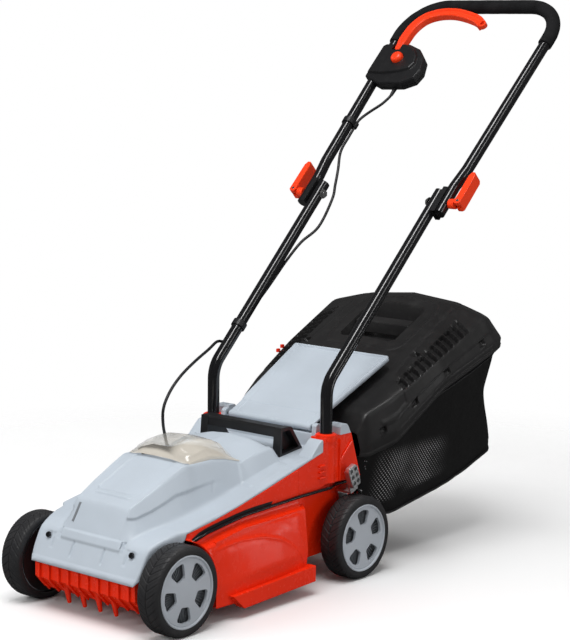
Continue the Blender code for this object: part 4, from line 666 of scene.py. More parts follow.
def moulded(name, colour, roughness, grain, depth, dusty=0.2, spread=0.06, gloss=0.5):
    """Injection-moulded plastic: soft flow marks, fine grain, rubbed scratches and a little dust."""
    f = Finish(name, colour)
    flow = f.noise(7, 4)
    tint = f.blend(f.spread(flow, 0.3, 0.7), shade(colour, 1 - spread), shade(colour, 1 + spread))
    dust = f.spread(f.noise(46, 6, 0.62), 0.50, 0.78)
    tint = f.blend(dust * (dusty * 0.16), tint, (0.34, 0.33, 0.31))
    scratch = f.spread(f.noise(30, 5, 0.7, f.stretched(9, 1.2, 26)), 0.60, 0.72)
    fine = f.noise(grain, 2)
    rough = f.spread(f.noise(120, 4), 0.25, 0.75, roughness - 0.05, roughness + 0.05) + dust * 0.10 + scratch * 0.07
    height = fine + f.noise(grain * 0.22, 2) * 0.6 - scratch * 0.25
    return f.finish(Base_Color=tint, Roughness=rough, Normal=f.bump(height, 0.35, depth),
                    Specular_IOR_Level=gloss, IOR=1.49)


def rubber(name, colour, roughness, dusty):
    f = Finish(name, colour)
    worn = f.spread(f.noise(34, 6, 0.6), 0.42, 0.72)
    tint = f.blend(worn * dusty, colour, (0.085, 0.080, 0.074))
    tint = f.blend(f.spread(f.noise(9, 3), 0.35, 0.65), tint, shade(colour, 0.8))
    rough = f.spread(f.noise(90, 4), 0.3, 0.7, roughness - 0.07, roughness + 0.07)
    height = f.noise(1500, 3, 0.6) + f.noise(260, 3) * 0.7
    return f.finish(Base_Color=tint, Roughness=rough, Normal=f.bump(height, 0.5, 0.00025), IOR=1.5)


def metal(name, colour, roughness):
    f = Finish(name, colour)
    lines = f.noise(60, 4, 0.6, f.stretched(1, 1, 30))
    stain = f.spread(f.noise(55, 5, 0.6), 0.35, 0.75)
    tint = f.blend(stain, colour, shade(colour, 0.72))
    rough = f.spread(lines, 0.3, 0.7, roughness - 0.08, roughness + 0.12)
    return f.finish(Base_Color=tint, Roughness=rough, Metallic=1.0,
                    Normal=f.bump(lines + f.noise(900, 2) * 0.4, 0.25, 0.0001))


def painted(name, colour, roughness):
    """Gloss paint on steel tube: a faint orange peel, fine specks and rubbed patches."""
    f = Finish(name, colour)
    specks = f.spread(f.noise(1300, 2), 0.66, 0.74)
    tint = f.blend(specks * 0.3, colour, (0.10, 0.10, 0.105))
    rubbed = f.spread(f.noise(26, 5, 0.65), 0.55, 0.80)
    rough = f.spread(f.noise(150, 3), 0.3, 0.7, roughness - 0.03, roughness + 0.04) + rubbed * 0.10
    return f.finish(Base_Color=tint, Roughness=rough, Normal=f.bump(f.noise(420, 2), 0.05, 0.00002), IOR=1.6)


def foam_rubber(name, colour):
    f = Finish(name, colour)
    cells = f.node("ShaderNodeTexVoronoi", {"feature": "F1"}, {"Vector": f.place, "Scale": 950.0}, out="Distance")
    tint = f.blend(f.spread(f.noise(40, 5), 0.35, 0.7), colour, shade(colour, 1.9))
    height = cells + f.noise(240, 3) * 0.5
    return f.finish(Base_Color=tint, Roughness=f.spread(f.noise(200, 3), 0.3, 0.7, 0.80, 0.95),
                    Normal=f.bump(height, 0.7, 0.0005), Specular_IOR_Level=0.25)


def woven(name, colour):
    """Coated mesh cloth, woven along the piece's own UV map, with open pin holes low on its sides."""
    f = Finish(name, colour)
    across, up = f.uv_parts("cloth")
    weave = f.wave(across, 2600) * f.wave(up, 2600)
    holes = f.spread(f.wave(across, 900) * f.wave(up, 800), 0.45, 0.70)
    patch = f.spread(f.noise(14, 2, 0.5), 0.28, 0.56)
    low = f.node("ShaderNodeAttribute", {"attribute_name": "open_mesh"}, out="Fac")
    holes = holes * patch * low
    lint = f.spread(f.noise(65, 6, 0.6), 0.45, 0.8)
    tint = f.blend(lint * 0.5, colour, shade(colour, 2.0))
    tint = f.blend(holes, tint, (0.50, 0.50, 0.51))
    height = weave * 0.5 + f.noise(500, 3) * 0.6 - holes
    return f.finish(Base_Color=tint, Roughness=f.spread(lint, 0, 1, 0.62, 0.85),
                    Normal=f.bump(height, 0.55, 0.0004), Specular_IOR_Level=0.35)


def clear(name, colour):
    """Clear moulding with a warm tint that shows where the wall is seen edge on."""
    f = Finish(name, colour)
    rim = f.node("ShaderNodeAttribute", {"attribute_name": "rim"}, out="Fac")
    haze = f.spread(f.noise(32, 4), 0.35, 0.75)
    tint = f.blend(haze * 0.5, colour, shade(colour, 0.86))
    alpha = rim * 0.50 + haze * 0.12 + 0.15
    rough = f.spread(f.noise(160, 3), 0.3, 0.7, 0.05, 0.14)
    return f.finish(Base_Color=tint, Roughness=rough, Alpha=alpha, Coat_Weight=0.6, Coat_Roughness=0.05,
                    Normal=f.bump(f.noise(60, 2), 0.12, 0.0005), IOR=1.49)


def circuit(name, colour):
    f = Finish(name, colour)
    tracks = f.node("ShaderNodeTexBrick", {}, {"Vector": f.place, "Scale": 90.0, "Mortar Size": 0.03}, out="Fac")
    tint = f.blend(tracks, colour, (0.10, 0.30, 0.16))
    return f.finish(Base_Color=tint, Roughness=f.spread(f.noise(200, 2), 0.3, 0.7, 0.3, 0.45))


def ribbed_cable(name, colour):
    """Sheathed cable: a faint twist of its cores along the piece's own UV map."""
    f = Finish(name, colour)
    turn, run = f.uv_parts("run")
    twist = turn * (2 * math.pi) + run * 180
    cores = twist.reckon("SINE", twist * 2)
    tint = f.blend(f.spread(f.noise(50, 4), 0.4, 0.7), colour, shade(colour, 1.8))
    return f.finish(Base_Color=tint, Roughness=f.spread(f.noise(300, 3), 0.3, 0.7, 0.36, 0.52),
                    Normal=f.bump(cores * 0.4 + f.noise(1400, 2) * 0.3, 0.25, 0.0003))


# Wheels


def tyre_point(turn, share):
    """A point of the tyre by its turn and its share round the section; grooves cut the tread as chevrons."""
    half, inner = TYRE_WIDTH / 2, HUB_RADIUS + TOUCH
    section = [(inner, half - 0.0010), (0.0645, half - 0.0002), (0.0655, half - 0.0009), (0.0662, half - 0.0002),
               (0.0700, half - 0.0007), (0.0735, half - 0.0030), (WHEEL_RADIUS, half - 0.0072),
               (WHEEL_RADIUS, 0), (WHEEL_RADIUS, -half + 0.0072), (0.0735, -half + 0.0030),
               (0.0700, -half + 0.0007), (0.0645, -half), (inner, -half + 0.0008), (inner, half - 0.0010)]
    shares = [0, 0.05, 0.065, 0.08, 0.13, 0.20, 0.28, 0.50, 0.72, 0.80, 0.87, 0.92, 0.95, 1.0]
    points = [Vector((r, z, 0)) for r, z in section]
    at = on_line(points, shares, share, 0.012)
    if 0.13 < share < 0.87:
        across = (share - 0.5) / 0.22
        slant = abs(across) * 0.85
        phase = (turn * TREAD_BLOCKS + slant) % 1
        bar = rise(0.0, 0.08, phase) * (1 - rise(0.92, 1.0, phase))
        split = 1 - (1 - rise(0.0, 0.05, abs(phase - 0.5))) * rise(0.30, 0.45, abs(across))
        keel = rise(0.02, 0.055, abs(across))
        edge = rise(0.13, 0.20, share) * (1 - rise(0.80, 0.87, share))
        at.x -= 0.0019 * (1 - bar * keel * (0.45 + 0.55 * split)) * edge
    return at


def tyre():
    def place(u, v):
        at = tyre_point(u, v)
        angle = 2 * math.pi * u
        return Vector((at.x * math.cos(angle), at.x * math.sin(angle), at.y))

    return sheet(408, 64, place, closed=True)


def hub():
    """A dished disc with a raised rim ring, five windows and a ribbed pan behind them."""
    face = TYRE_WIDTH / 2
    profile = [(0.0, face - 0.0016), (0.010, face - 0.0017), (0.020, face - 0.0022), (0.050, face - 0.0026),
               (0.0555, face - 0.0027), (0.0562, face - 0.0034), (0.0569, face - 0.0028), (0.0578, face - 0.0004),
               (0.0592, face), (0.0602, face - 0.0004), (0.0608, face - 0.0014), (0.0610, face - 0.004),
               (0.0610, -face + 0.0036), (0.0592, -face + 0.0032), (0.0575, -face + 0.0034), (0.0570, -face + 0.005),
               (0.0560, face - 0.0080), (0.012, face - 0.0072), (0.0, face - 0.0072)]
    disc = turned(profile, 96)
    windows = []
    for i in range(HUB_WINDOWS):
        outline = rounded([(0.0245, 0, 0), (0.0245, 0.0088, 0), (0.0478, 0.0178, 0), (0.0512, 0, 0),
                           (0.0478, -0.0178, 0), (0.0245, -0.0088, 0), (0.0245, 0, 0)], 0.0052, 8)[1:-1]
        window = drawn([[(p.x, p.y, z) for p in outline] for z in (face - 0.02, face + 0.01)])
        windows.append(placed(window, Matrix.Rotation(math.radians(360 / HUB_WINDOWS * i), 4, "Z")))
    plate = round_edges(cut(disc, *windows), 0.0007, 2, 50)
    floor = face - 0.0165
    pan = turned([(0.0, floor + 0.002), (0.020, floor), (0.052, floor), (0.0568, floor + 0.004),
                  (0.0568, floor - 0.002), (0.0, floor - 0.002)], 64)
    boss = turned([(STUB_RADIUS + 0.0005, -face + 0.003), (0.013, -face + 0.003), (0.013, face - 0.006),
                   (STUB_RADIUS + 0.0005, face - 0.006)], 40)
    ribs = []
    for i in range(HUB_RIBS):
        rib = block((0.022, -0.0005, floor), (0.0555, 0.0005, floor + 0.0050))
        ribs.append(placed(rib, Matrix.Rotation(math.radians(360 / HUB_RIBS * i), 4, "Z")))
    return together(plate, boss), together(pan, *ribs)


def wheels():
    tyre_shape, (hub_shape, web_shape) = tyre(), hub()
    for end, y, turn_z in (("front", 0.0, 208), ("rear", WHEELBASE, 182)):
        for side, sign in (("left", 1), ("right", -1)):
            middle = Vector((sign * (TRACK_HALF - TYRE_WIDTH / 2), y, WHEEL_RADIUS))
            turn = Matrix.Rotation(sign * math.pi / 2, 4, "Y") @ Matrix.Rotation(math.radians(turn_z), 4, "Z")
            place = Matrix.Translation(middle) @ turn
            body = f"wheel_{end}_{side}"
            piece(f"tread_{end}_{side}", placed(tyre_shape.copy(), place), "tyre_rubber", body,
                  f"tyre_{end}_{side}", weighted=False, least=45)
            piece(f"wheel_disc_{end}_{side}", placed(hub_shape.copy(), place), "hub_plastic", body,
                  f"hub_{end}_{side}")
            # The ribbed pan behind the windows takes the hub's grey darkened, as painted shade inside the windows
            piece(f"wheel_web_{end}_{side}", placed(web_shape.copy(), place), "painted_shade_grey", body)
            # A black disc over the inner side of each wheel, painted shade inside the wheel
            back = turned([(0.012, -0.0195), (0.0125, -0.0205), (0.040, -0.0200), (0.0600, -0.0212),
                           (0.0604, -0.0205), (0.0600, -0.0190), (0.012, -0.0190), (0.012, -0.0195)], 64)
            piece(f"wheel_back_shade_{end}_{side}", placed(back, place), "black_plastic", body)
    for shape in (tyre_shape, hub_shape, web_shape):
        shape.free()


# Cover


def cover_section(y):
    edge, foot, upper, shoulder_z, foot_z, upper_z, crest_z = eased(COVER, y, COVER_EASE)
    return [Vector((edge, y, min(seam(y), shoulder_z))), Vector((edge, y, shoulder_z)), Vector((foot, y, foot_z)),
            Vector((upper, y, upper_z)), Vector((upper * 0.5, y, upper_z + (crest_z - upper_z) * 0.75)),
            Vector((0, y, crest_z))]


# Shares of the cover's section from edge to crest, and its stations by share of its length
COVER_SHARES = [0, 0.06, 0.24, 0.52, 0.78, 1.0]
COVER_STATIONS = [(0.0, -0.0601), (0.20, -0.022), (0.34, 0.012), (0.52, 0.100), (0.58, 0.130), (0.90, 0.335),
                  (1.0, 0.382)]


def cover_point(across, along):
    """A point of the cover's outer skin; across runs from edge to edge and along from front to rear."""
    y = between(COVER_STATIONS, along)[0]
    return mirrored_line(cover_section(y), COVER_SHARES, across, 0.032)


# Height of the ledge on the dome's side, by station
LEDGE = [(-0.040, 0.178), (-0.005, 0.177), (0.020, 0.184), (0.077, 0.204), (0.158, 0.214), (0.20, 0.218)]


def cover_depth(at, normal):
    """How far the cover's relief stands out or in at a point."""
    x, y, z = at
    out = 0.0
    steep = abs(normal.x)
    # Sunk panel on the dome's slope, open to the clear lid, with a lip at its front
    if z > 0.19:
        out -= 0.0026 * inside(x, y - 0.080, 0.0465, 0.0600, 0.008, 0.0009)
        out += 0.0020 * inside(x, y - 0.0125, 0.040, 0.0034, 0.003, 0.0012)
        out -= 0.0050 * inside(x - 0.002, y - 0.2475, 0.0095, 0.0045, 0.0040, 0.0009)
    # Shallow slot on the dome's flank
    if steep > 0.3 and 0.160 < z < 0.225:
        out -= 0.0013 * inside(0, y - 0.156 - (z - 0.206) * 0.45, 1, 0.0013, 0.001, 0.0009) * rise(0.196, 0.199, z) * (
            1 - rise(0.215, 0.218, z))
    # Ledge along the dome's side
    ledge = between(LEDGE, y)[0]
    if steep > 0.3 and abs(x) > 0.050 and -0.045 < y < 0.19:
        out += 0.0030 * rise(-0.0008, 0.0014, z - ledge) * (1 - rise(0.10, 0.19, y)) * rise(0.3, 0.55, steep)
    # Band round the dome's foot in front
    if y < -0.012 and abs(x) < 0.0685:
        out += 0.0026 * rise(0.1445, 0.1430, z) * rise(0.127, 0.131, z)
    # Raised pad beside the rear of the dome
    if y > 0.19 and abs(x) > 0.085:
        out += 0.0022 * rise(0.2155, 0.2195, y - (z - 0.200) * 0.35) * (1 - rise(0.124, 0.128, abs(x))) * rise(
            0.312, 0.306, y)
    # Shallow upright dimples, screw seats and the lip on the apron
    if y < -0.024:
        for middle, low, high in ((0.086, 0.112, 0.133), (0.036, 0.106, 0.126), (0.074, 0.128, 0.142)):
            for sign in (1, -1):
                width = abs(x - sign * middle)
                out -= 0.0022 * (1 - rise(0.0012, 0.0026, width)) * rise(low - 0.003, low, z) * (
                    1 - rise(high, high + 0.003, z))
        out += 0.0010 * (1 - rise(0.0925, 0.0950, z))
    seat = Vector((0.098, -0.040, 0.128))
    away = (Vector((abs(x), y, z)) - seat).length
    out -= 0.0016 * (1 - rise(0.0066, 0.0078, away))
    # Groove above the rolled edge along each side
    if y > 0.09:
        above = z - seam(y)
        out -= 0.0010 * rise(0.1475, 0.1470, abs(x)) * inside(0, abs(x) - 0.1395, 1, 0.0010, 0.0005, 0.0008) * rise(
            0.0, 0.001, above)
    return out


def mark_on_cover(first, second, width, steps=8, height=0.0004):
    """A thin dark strip, painted shade for a slot, that follows the cover between two places given by share across and
    along.
    """
    a, b = Vector(first), Vector(second)
    points = [cover_point(*(a.lerp(b, i / steps))) for i in range(steps + 1)]
    rings = []
    for i, point in enumerate(points):
        way = (points[min(i + 1, steps)] - points[max(i - 1, 0)]).normalized()
        near = cover_point(*(a.lerp(b, i / steps) + Vector((0.004, 0))))
        out = way.cross(near - point).normalized()
        if out.z + abs(out.x) < 0 or out.dot(Vector((point.x, -0.02, 0.05))) < 0:
            out.negate()
        side = out.cross(way) * width / 2
        corners = ((-1, -0.001), (1, -0.001), (1, height), (-1, height))
        rings.append([point + side * s + out * h for s, h in corners])
    return drawn(rings)


def cover():
    skin = sheet(198, 236, cover_point, closed=True)
    face_out(skin, (0, 0.05, 0.22), (0, 0, 1))
    carve(skin, cover_depth)
    for point, way in (((BAY_HALF, 0, 0), (1, 0, 0)), ((-BAY_HALF, 0, 0), (1, 0, 0)),
                       ((0, BAY_FRONT, 0), (0, 1, 0)), ((0, BAY_REAR, 0), (0, 1, 0))):
        bmesh.ops.bisect_plane(skin, geom=skin.verts[:] + skin.edges[:] + skin.faces[:], dist=1e-5,
                               plane_co=point, plane_no=way)
    middles = {face: face.calc_center_median() for face in skin.faces}
    bay = [face for face, at in middles.items() if abs(at.x) < BAY_HALF and BAY_FRONT < at.y < BAY_REAR]
    bmesh.ops.delete(skin, geom=bay, context="FACES")
    top = COLUMN_TOP - 0.002
    outline = [(0.372, 0.2303), (0.372, 0.2352), (0.400, 0.2393), (0.405, top), (0.448, top), (0.458, top - 0.012),
               (0.458, 0.2303)]
    housing = round_edges(prism(outline, -0.115, 0.115), 0.0014, 3)
    ears = []
    for sign in (1, -1):
        ear = [(0.403, top - 0.006), (0.404, 0.276), (0.409, 0.280), (0.415, 0.280), (0.420, 0.276),
               (0.424, top - 0.006)]
        ears.append(round_edges(prism(ear, sign * 0.1035, sign * 0.1140), 0.0007))
    piece("cover_shell", skin, "grey_plastic", "mower", "top_cover", thick=0.0022, weighted=False, least=60)
    fairing = [(0.3450, 0.2290), (0.3745, 0.2570), (0.3800, 0.2600), (0.3845, 0.2600), (0.3845, 0.2290)]
    fairing = round_edges(prism(fairing, 0.1180, 0.1477), 0.0022, 3, 25)
    piece("tower_fairings", mirrored(fairing), "grey_plastic", "mower")
    piece("hinge_housing", together(housing, *ears), "grey_plastic", "mower")
    # A dark strip on the dome's front corner, painted shade for the slot there
    mark = mark_on_cover((0.702, 0.240), (0.715, 0.172), 0.0050)
    piece("cover_slot_shade", mark, "painted_shade_grey", "mower")


# Clear lid over the battery


def lid_point(across, along):
    front = LID_FRONT - 0.010 * math.cos((across - 0.5) * math.pi) + 0.007
    y = front + (LID_REAR - front) * along
    _, _, upper, _, _, upper_z, crest_z = eased(COVER, y, COVER_EASE)
    lift = eased(LID_RISE, along, 0.05)[0]
    wide = upper - 0.001
    base, middle = upper_z + 0.0004, crest_z + 0.0004
    height = 0.002 + LID_CROWN * lift
    points = [Vector((wide, y, base)), Vector((wide, y, base + 0.002 + height * 0.12)),
              Vector((wide * 0.86, y, base + 0.0005 + height * 0.58)),
              Vector((wide * 0.5, y, middle + height * 0.92 - 0.001)), Vector((0, y, middle + height))]
    return mirrored_line(points, [0, 0.08, 0.32, 0.66, 1.0], across, 0.06)


def battery_bay():
    skin = sheet(90, 80, lid_point, closed=True)
    face_out(skin, (0, 0.17, 0.28), (0, 0, 1))

    def relief(at, normal):
        outer = inside(at.x, at.y - 0.176, 0.066, 0.052, 0.020, 0.0015)
        return 0.0007 * (outer - inside(at.x, at.y - 0.176, 0.062, 0.048, 0.018, 0.0015))

    carve(skin, relief)
    rim = skin.verts.layers.float.new("rim")
    for vert in skin.verts:
        side = between(COVER, vert.co.y)[2] - abs(vert.co.x)
        edge = 1 - rise(0.002, 0.012, min(side, LID_REAR - vert.co.y)) * rise(0.001, 0.006, vert.co.y - LID_FRONT)
        vert[rim] = max(edge, 0.9 * rise(0.016, 0.044, vert.co.x), 0.8 * rise(0.160, 0.190, vert.co.y))
    piece("clear_bubble", skin, "clear_lid", "lid", "battery_lid", weighted=False, least=60)
    # The battery's dark top, made wide on the left so that it also stands for painted shade under the lid's lifted
    # front edge
    battery = block((-0.0610, 0.1290, 0.2440), (0.0060, 0.1700, 0.2570), 0.0060, 3)
    piece("battery_block_and_shade", battery, "black_plastic", "mower")
    ribs = []
    for i in range(6):
        x = (i - 2.5) * 0.0095 - 0.0275
        ribs.append(block((x - 0.0018, 0.136, 0.2550), (x + 0.0018, 0.164, 0.2588), 0.0008))
    cells = block((-0.056, 0.134, 0.2550), (0.001, 0.166, 0.2579), 0.0012)
    piece("battery_ribs", together(cells, *ribs), "black_plastic", "mower")


# Deck


# Shares of the flank's section from its foot up, and its stations by share of its length
FLANK_SHARES = [0, 0.26, 0.55, 0.72, 0.82, 1.0]
FLANK_STATIONS = [(0.0, 0.0350), (0.05, 0.0380), (0.22, 0.0800), (0.28, 0.0900), (0.88, 0.3120), (1.0, 0.3270)]
ARCH_RADIUS = WHEEL_RADIUS + 0.0055


def flank_point(across, along):
    """A point of the deck's bulging side, from its lower edge up to the cover."""
    y = between(FLANK_STATIONS, along)[0]
    low, belly, brow, shelf, upper, low_z, belly_z, brow_z, shelf_z, top_z = eased(FLANK, y, 0.0045)
    points = [Vector((low, y, low_z)), Vector((belly, y, belly_z)), Vector((brow, y, brow_z)),
              Vector((shelf, y, shelf_z)), Vector((upper + 0.0008, y, shelf_z + 0.0035)),
              Vector((upper, y, min(top_z, seam(y) - 0.0004)))]
    if y < ARCH_RADIUS:
        arch = WHEEL_RADIUS + math.sqrt(ARCH_RADIUS**2 - y**2)
        for step, point in enumerate(points):
            point.z = max(point.z, arch + 0.0006 * step)
    return on_line(points, FLANK_SHARES, across, 0.045)


# Height of the crease over the bulge, by station
BROW = [(0.080, 0.124), (0.110, 0.129), (0.150, 0.131), (0.200, 0.127), (0.245, 0.114), (0.275, 0.096), (0.300, 0.066),
        (0.314, 0.040)]


def flank_depth(at, normal):
    """A soft crease arches over the bulge, and the flank above it lies a little further in."""
    height = eased(BROW, at.y, 0.012)[0]
    if at.x < 0.155:
        return 0.0
    above = at.z - height
    crease = math.exp(-((above + 0.001) / 0.0020) ** 2) * 0.0008
    return (crease - 0.0009 * rise(-0.0010, 0.005, above) * (1 - rise(0.008, 0.034, above))) * rise(0.076, 0.100, at.y)


def deck():
    shell = from_solid("deck", 0.0009, 40)
    piece("deck_shell", shell, "red_plastic", "mower", "deck", at_axle=False)
    flank = sheet(90, 150, flank_point)
    face_out(flank, (0.175, 0.2, 0.07), (1, 0, 0))
    carve(flank, flank_depth)
    piece("deck_flanks", mirrored(flank), "red_plastic", "mower", thick=0.0015, weighted=False, least=60)

    extras = []
    for z in (0.193, 0.2035, 0.214):
        extras.append(block((0.1475, 0.3700, z - 0.0021), (0.1522, 0.3880, z + 0.0021), 0.0014))
    brace = [(0.4255, 0.2080), (0.4255, 0.2150), (0.4600, 0.2480), (0.4640, 0.2480), (0.4640, 0.2420)]
    extras.append(round_edges(prism(brace, 0.1475, 0.1512), 0.0012))
    extras.append(round_edges(prism([(0.4262, 0.1800), (0.4262, 0.2560), (0.4290, 0.2560), (0.4290, 0.1800)],
                                    0.1475, 0.1518), 0.0012))
    step = [(0.1105, 0.0432), (0.1375, 0.0178), (0.3232, 0.0248), (0.3232, 0.0532)]
    extras.append(round_edges(prism(step, 0.1700, 0.1842), 0.0012, 3))
    piece("deck_trims", mirrored(together(*extras)), "red_plastic", "mower")
    heads = [rod((sign * 0.1478, 0.4300, 0.2180), (sign * 0.1500, 0.4300, 0.2180), 0.0030, 0.0026)
             for sign in (1, -1)]
    piece("tower_screws", together(*heads), "brass", "mower")


def rod_line():
    """The black rod along the near side, through its bends."""
    link_x, run_x = 0.133, 0.1515
    lean = math.radians(11)
    arm = Vector((0, math.sin(lean), math.cos(lean))) * 0.080
    front = Vector((0, CRANK_REACH, CRANK_Z)) + arm
    rear = Vector((0, WHEELBASE + CRANK_REACH, CRANK_Z)) + arm
    return [
        (0.1255, *front.yz), (link_x, *front.yz), (run_x - 0.0025, 0.0480, 0.1425), (run_x, 0.078, 0.152),
        (run_x, 0.173, 0.165), (run_x, 0.318, 0.171), (run_x, 0.400, 0.172), (link_x, 0.436, 0.1695),
        (link_x, 0.4715, 0.1695), (link_x, rear.y - 0.006, rear.z + 0.006), (link_x, *rear.yz), (0.1255, *rear.yz),
    ]


def height_setting():
    eased_path = []
    points = [Vector(point) for point in rod_line()]
    for i, point in enumerate(points):
        if i in (0, len(points) - 1):
            eased_path.append(point)
            continue
        back, on = points[i - 1], points[i + 1]
        near = min(0.004, (point - back).length * 0.4, (on - point).length * 0.4)
        first, last = point + (back - point).normalized() * near, point + (on - point).normalized() * near
        eased_path += [first, (first + last) / 4 + point / 2, last]
    piece("height_rod", swept(eased_path, circle(0.003, 20)), "black_paint", "linkage", "linkage_rod",
          weighted=False)
    # A black strip along the groove above the rod, painted shade under the cover's overhang
    groove_line = flowing([(0.1486, 0.0470, 0.1450), (0.1486, 0.078, 0.1565), (0.1486, 0.173, 0.1695),
                           (0.1480, 0.240, 0.1725), (0.1462, 0.300, 0.1735)], 0.01)
    strip = swept(groove_line, [(0.0008, -0.0035), (0.0008, 0.0026), (-0.0008, 0.0026), (-0.0008, -0.0035)])
    piece("rod_groove_shade", mirrored(strip), "black_plastic", "mower")

    lean = math.radians(21)
    up, across = Vector((0, -math.sin(lean), math.cos(lean))), Vector((0, -math.cos(lean), -math.sin(lean)))
    middle = Vector((0, WHEELBASE + CRANK_REACH, CRANK_Z)) + up * 0.137
    out = 0.1585 + TOUCH
    corners = [(-0.0105, -0.020), (0.0105, -0.020), (0.0132, -0.004), (0.0130, 0.0150), (0.0085, 0.0205),
               (-0.0085, 0.0205), (-0.0130, 0.0150), (-0.0132, -0.004)]
    plate = drawn([[middle + Vector((x, 0, 0)) + across * a + up * b for a, b in corners]
                   for x in (out, out + 0.0098)])
    round_edges(plate, 0.0016, 3, 25)
    holes = []
    for row in (-0.0115, 0.0005, 0.0125):
        for side in (-0.0056, 0.0056):
            spot = middle + across * side + up * row
            inner, outer = spot + Vector((out + 0.0022, 0, 0)), spot + Vector((out + 0.02, 0, 0))
            holes.append(rod(inner, outer, 0.0041, sides=24))
    plate = round_edges(cut(plate, *holes), 0.0004, 1, 60)
    piece("height_knob_plate", plate, "zinc", "rear_crank", "height_knob")


# Handles


def lower_tubes():
    for side, sign in (("left", 1), ("right", -1)):
        foot = Vector((sign * SOCKET_X, SOCKET_Y, SOCKET_FLOOR + TOUCH))
        bend = Vector((sign * SOCKET_X, SOCKET_Y, BEND_Z))
        pin = Vector((sign * JOINT_X, *JOINT.yz))
        end = pin + (pin - bend).normalized() * 0.026
        path = rounded([foot, bend, end], 0.055, 20)
        plug = [end - (end - bend).normalized() * 0.001, end + (end - bend).normalized() * 0.0003]
        tube = together(swept(path, TUBE_RADIUS), round_edges(swept(plug, TUBE_RADIUS - 0.0004), 0.0004))
        piece(f"tube_{side}", tube, "black_paint", "mower", f"lower_tube_{side}", weighted=False)
        ring = turned([(TUBE_RADIUS + 0.0005, COLUMN_TOP - 0.001), (TUBE_RADIUS + 0.0005, COLUMN_TOP + 0.0034),
                       (0.0150, COLUMN_TOP + 0.0038), (0.0178, COLUMN_TOP + 0.0022), (0.0190, COLUMN_TOP - 0.002)], 48)
        ring = placed(ring, Matrix.Translation((sign * SOCKET_X, SOCKET_Y, 0)))
        piece(f"collar_{side}", ring, "red_plastic", "mower")


def upper_tube():
    right = [handle_point(UPPER_JOINT_X, -0.026), handle_point(UPPER_JOINT_X, 0.040),
             handle_point(FLARE_X, FLARE_S), handle_point(HANDLE_TOP_HALF, HANDLE_LENGTH)]
    left = returned(right)
    lead = rounded(right[:-1] + [right[-2].lerp(right[-1], 0.3)], 0.045, 8)[:-1]
    arch = rounded([right[-2].lerp(right[-1], 0.4), right[-1], left[0], left[0].lerp(left[1], 0.6)],
                   CORNER_RADIUS, 24)[1:-1]
    tube = swept(lead + arch + returned(lead), TUBE_RADIUS)
    piece("handle_tube", tube, "black_paint", "handle", "upper_handle", weighted=False)

    grip_reach = 0.245
    arch = rounded([right[-1].lerp(right[-2], grip_reach), right[-1], left[0], left[0].lerp(left[1], grip_reach)],
                   CORNER_RADIUS, 40)
    route = []
    for near, far in zip(arch, arch[1:]):
        steps = max(1, round((far - near).length / 0.004))
        route += [near.lerp(far, i / steps) for i in range(steps)]
    route.append(arch[-1])
    grip = swept(route, GRIP_RADIUS)
    round_edges(grip, 0.0018, 3, 60)
    for vert in grip.verts:
        vert.co += vert.normal * (noise.noise(vert.co * 90) * 0.00025)
    piece("foam_grip", grip, "foam", "handle", "handle_grip", weighted=False, least=60)


def fold_joints():
    """Steel pin ends and washers that the cam levers show."""
    pin_x = UPPER_JOINT_X + TUBE_RADIUS + TOUCH + 0.013 + 0.009
    for side, sign in (("left", 1), ("right", -1)):
        ends = [rod(handle_point(sign * pin_x, 0, h * 0.0118), handle_point(sign * pin_x, 0, h * 0.0128),
                    0.0030, 0.0026, sides=24) for h in (1, -1)]
        piece(f"cam_pin_{side}", together(*ends), "steel", f"cam_{side}")
        washer = turned([(0.0036, 0), (0.0090, 0), (0.0094, 0.0004), (0.0094, 0.0010), (0.0036, 0.0012)], 40)
        turn = Matrix.Rotation(-sign * math.pi / 2, 4, "Y")
        at = Vector((sign * (JOINT_X - TUBE_RADIUS - 0.00005), *JOINT.yz))
        piece(f"bolt_washer_{side}", placed(washer, Matrix.Translation(at) @ turn), "steel", "handle")


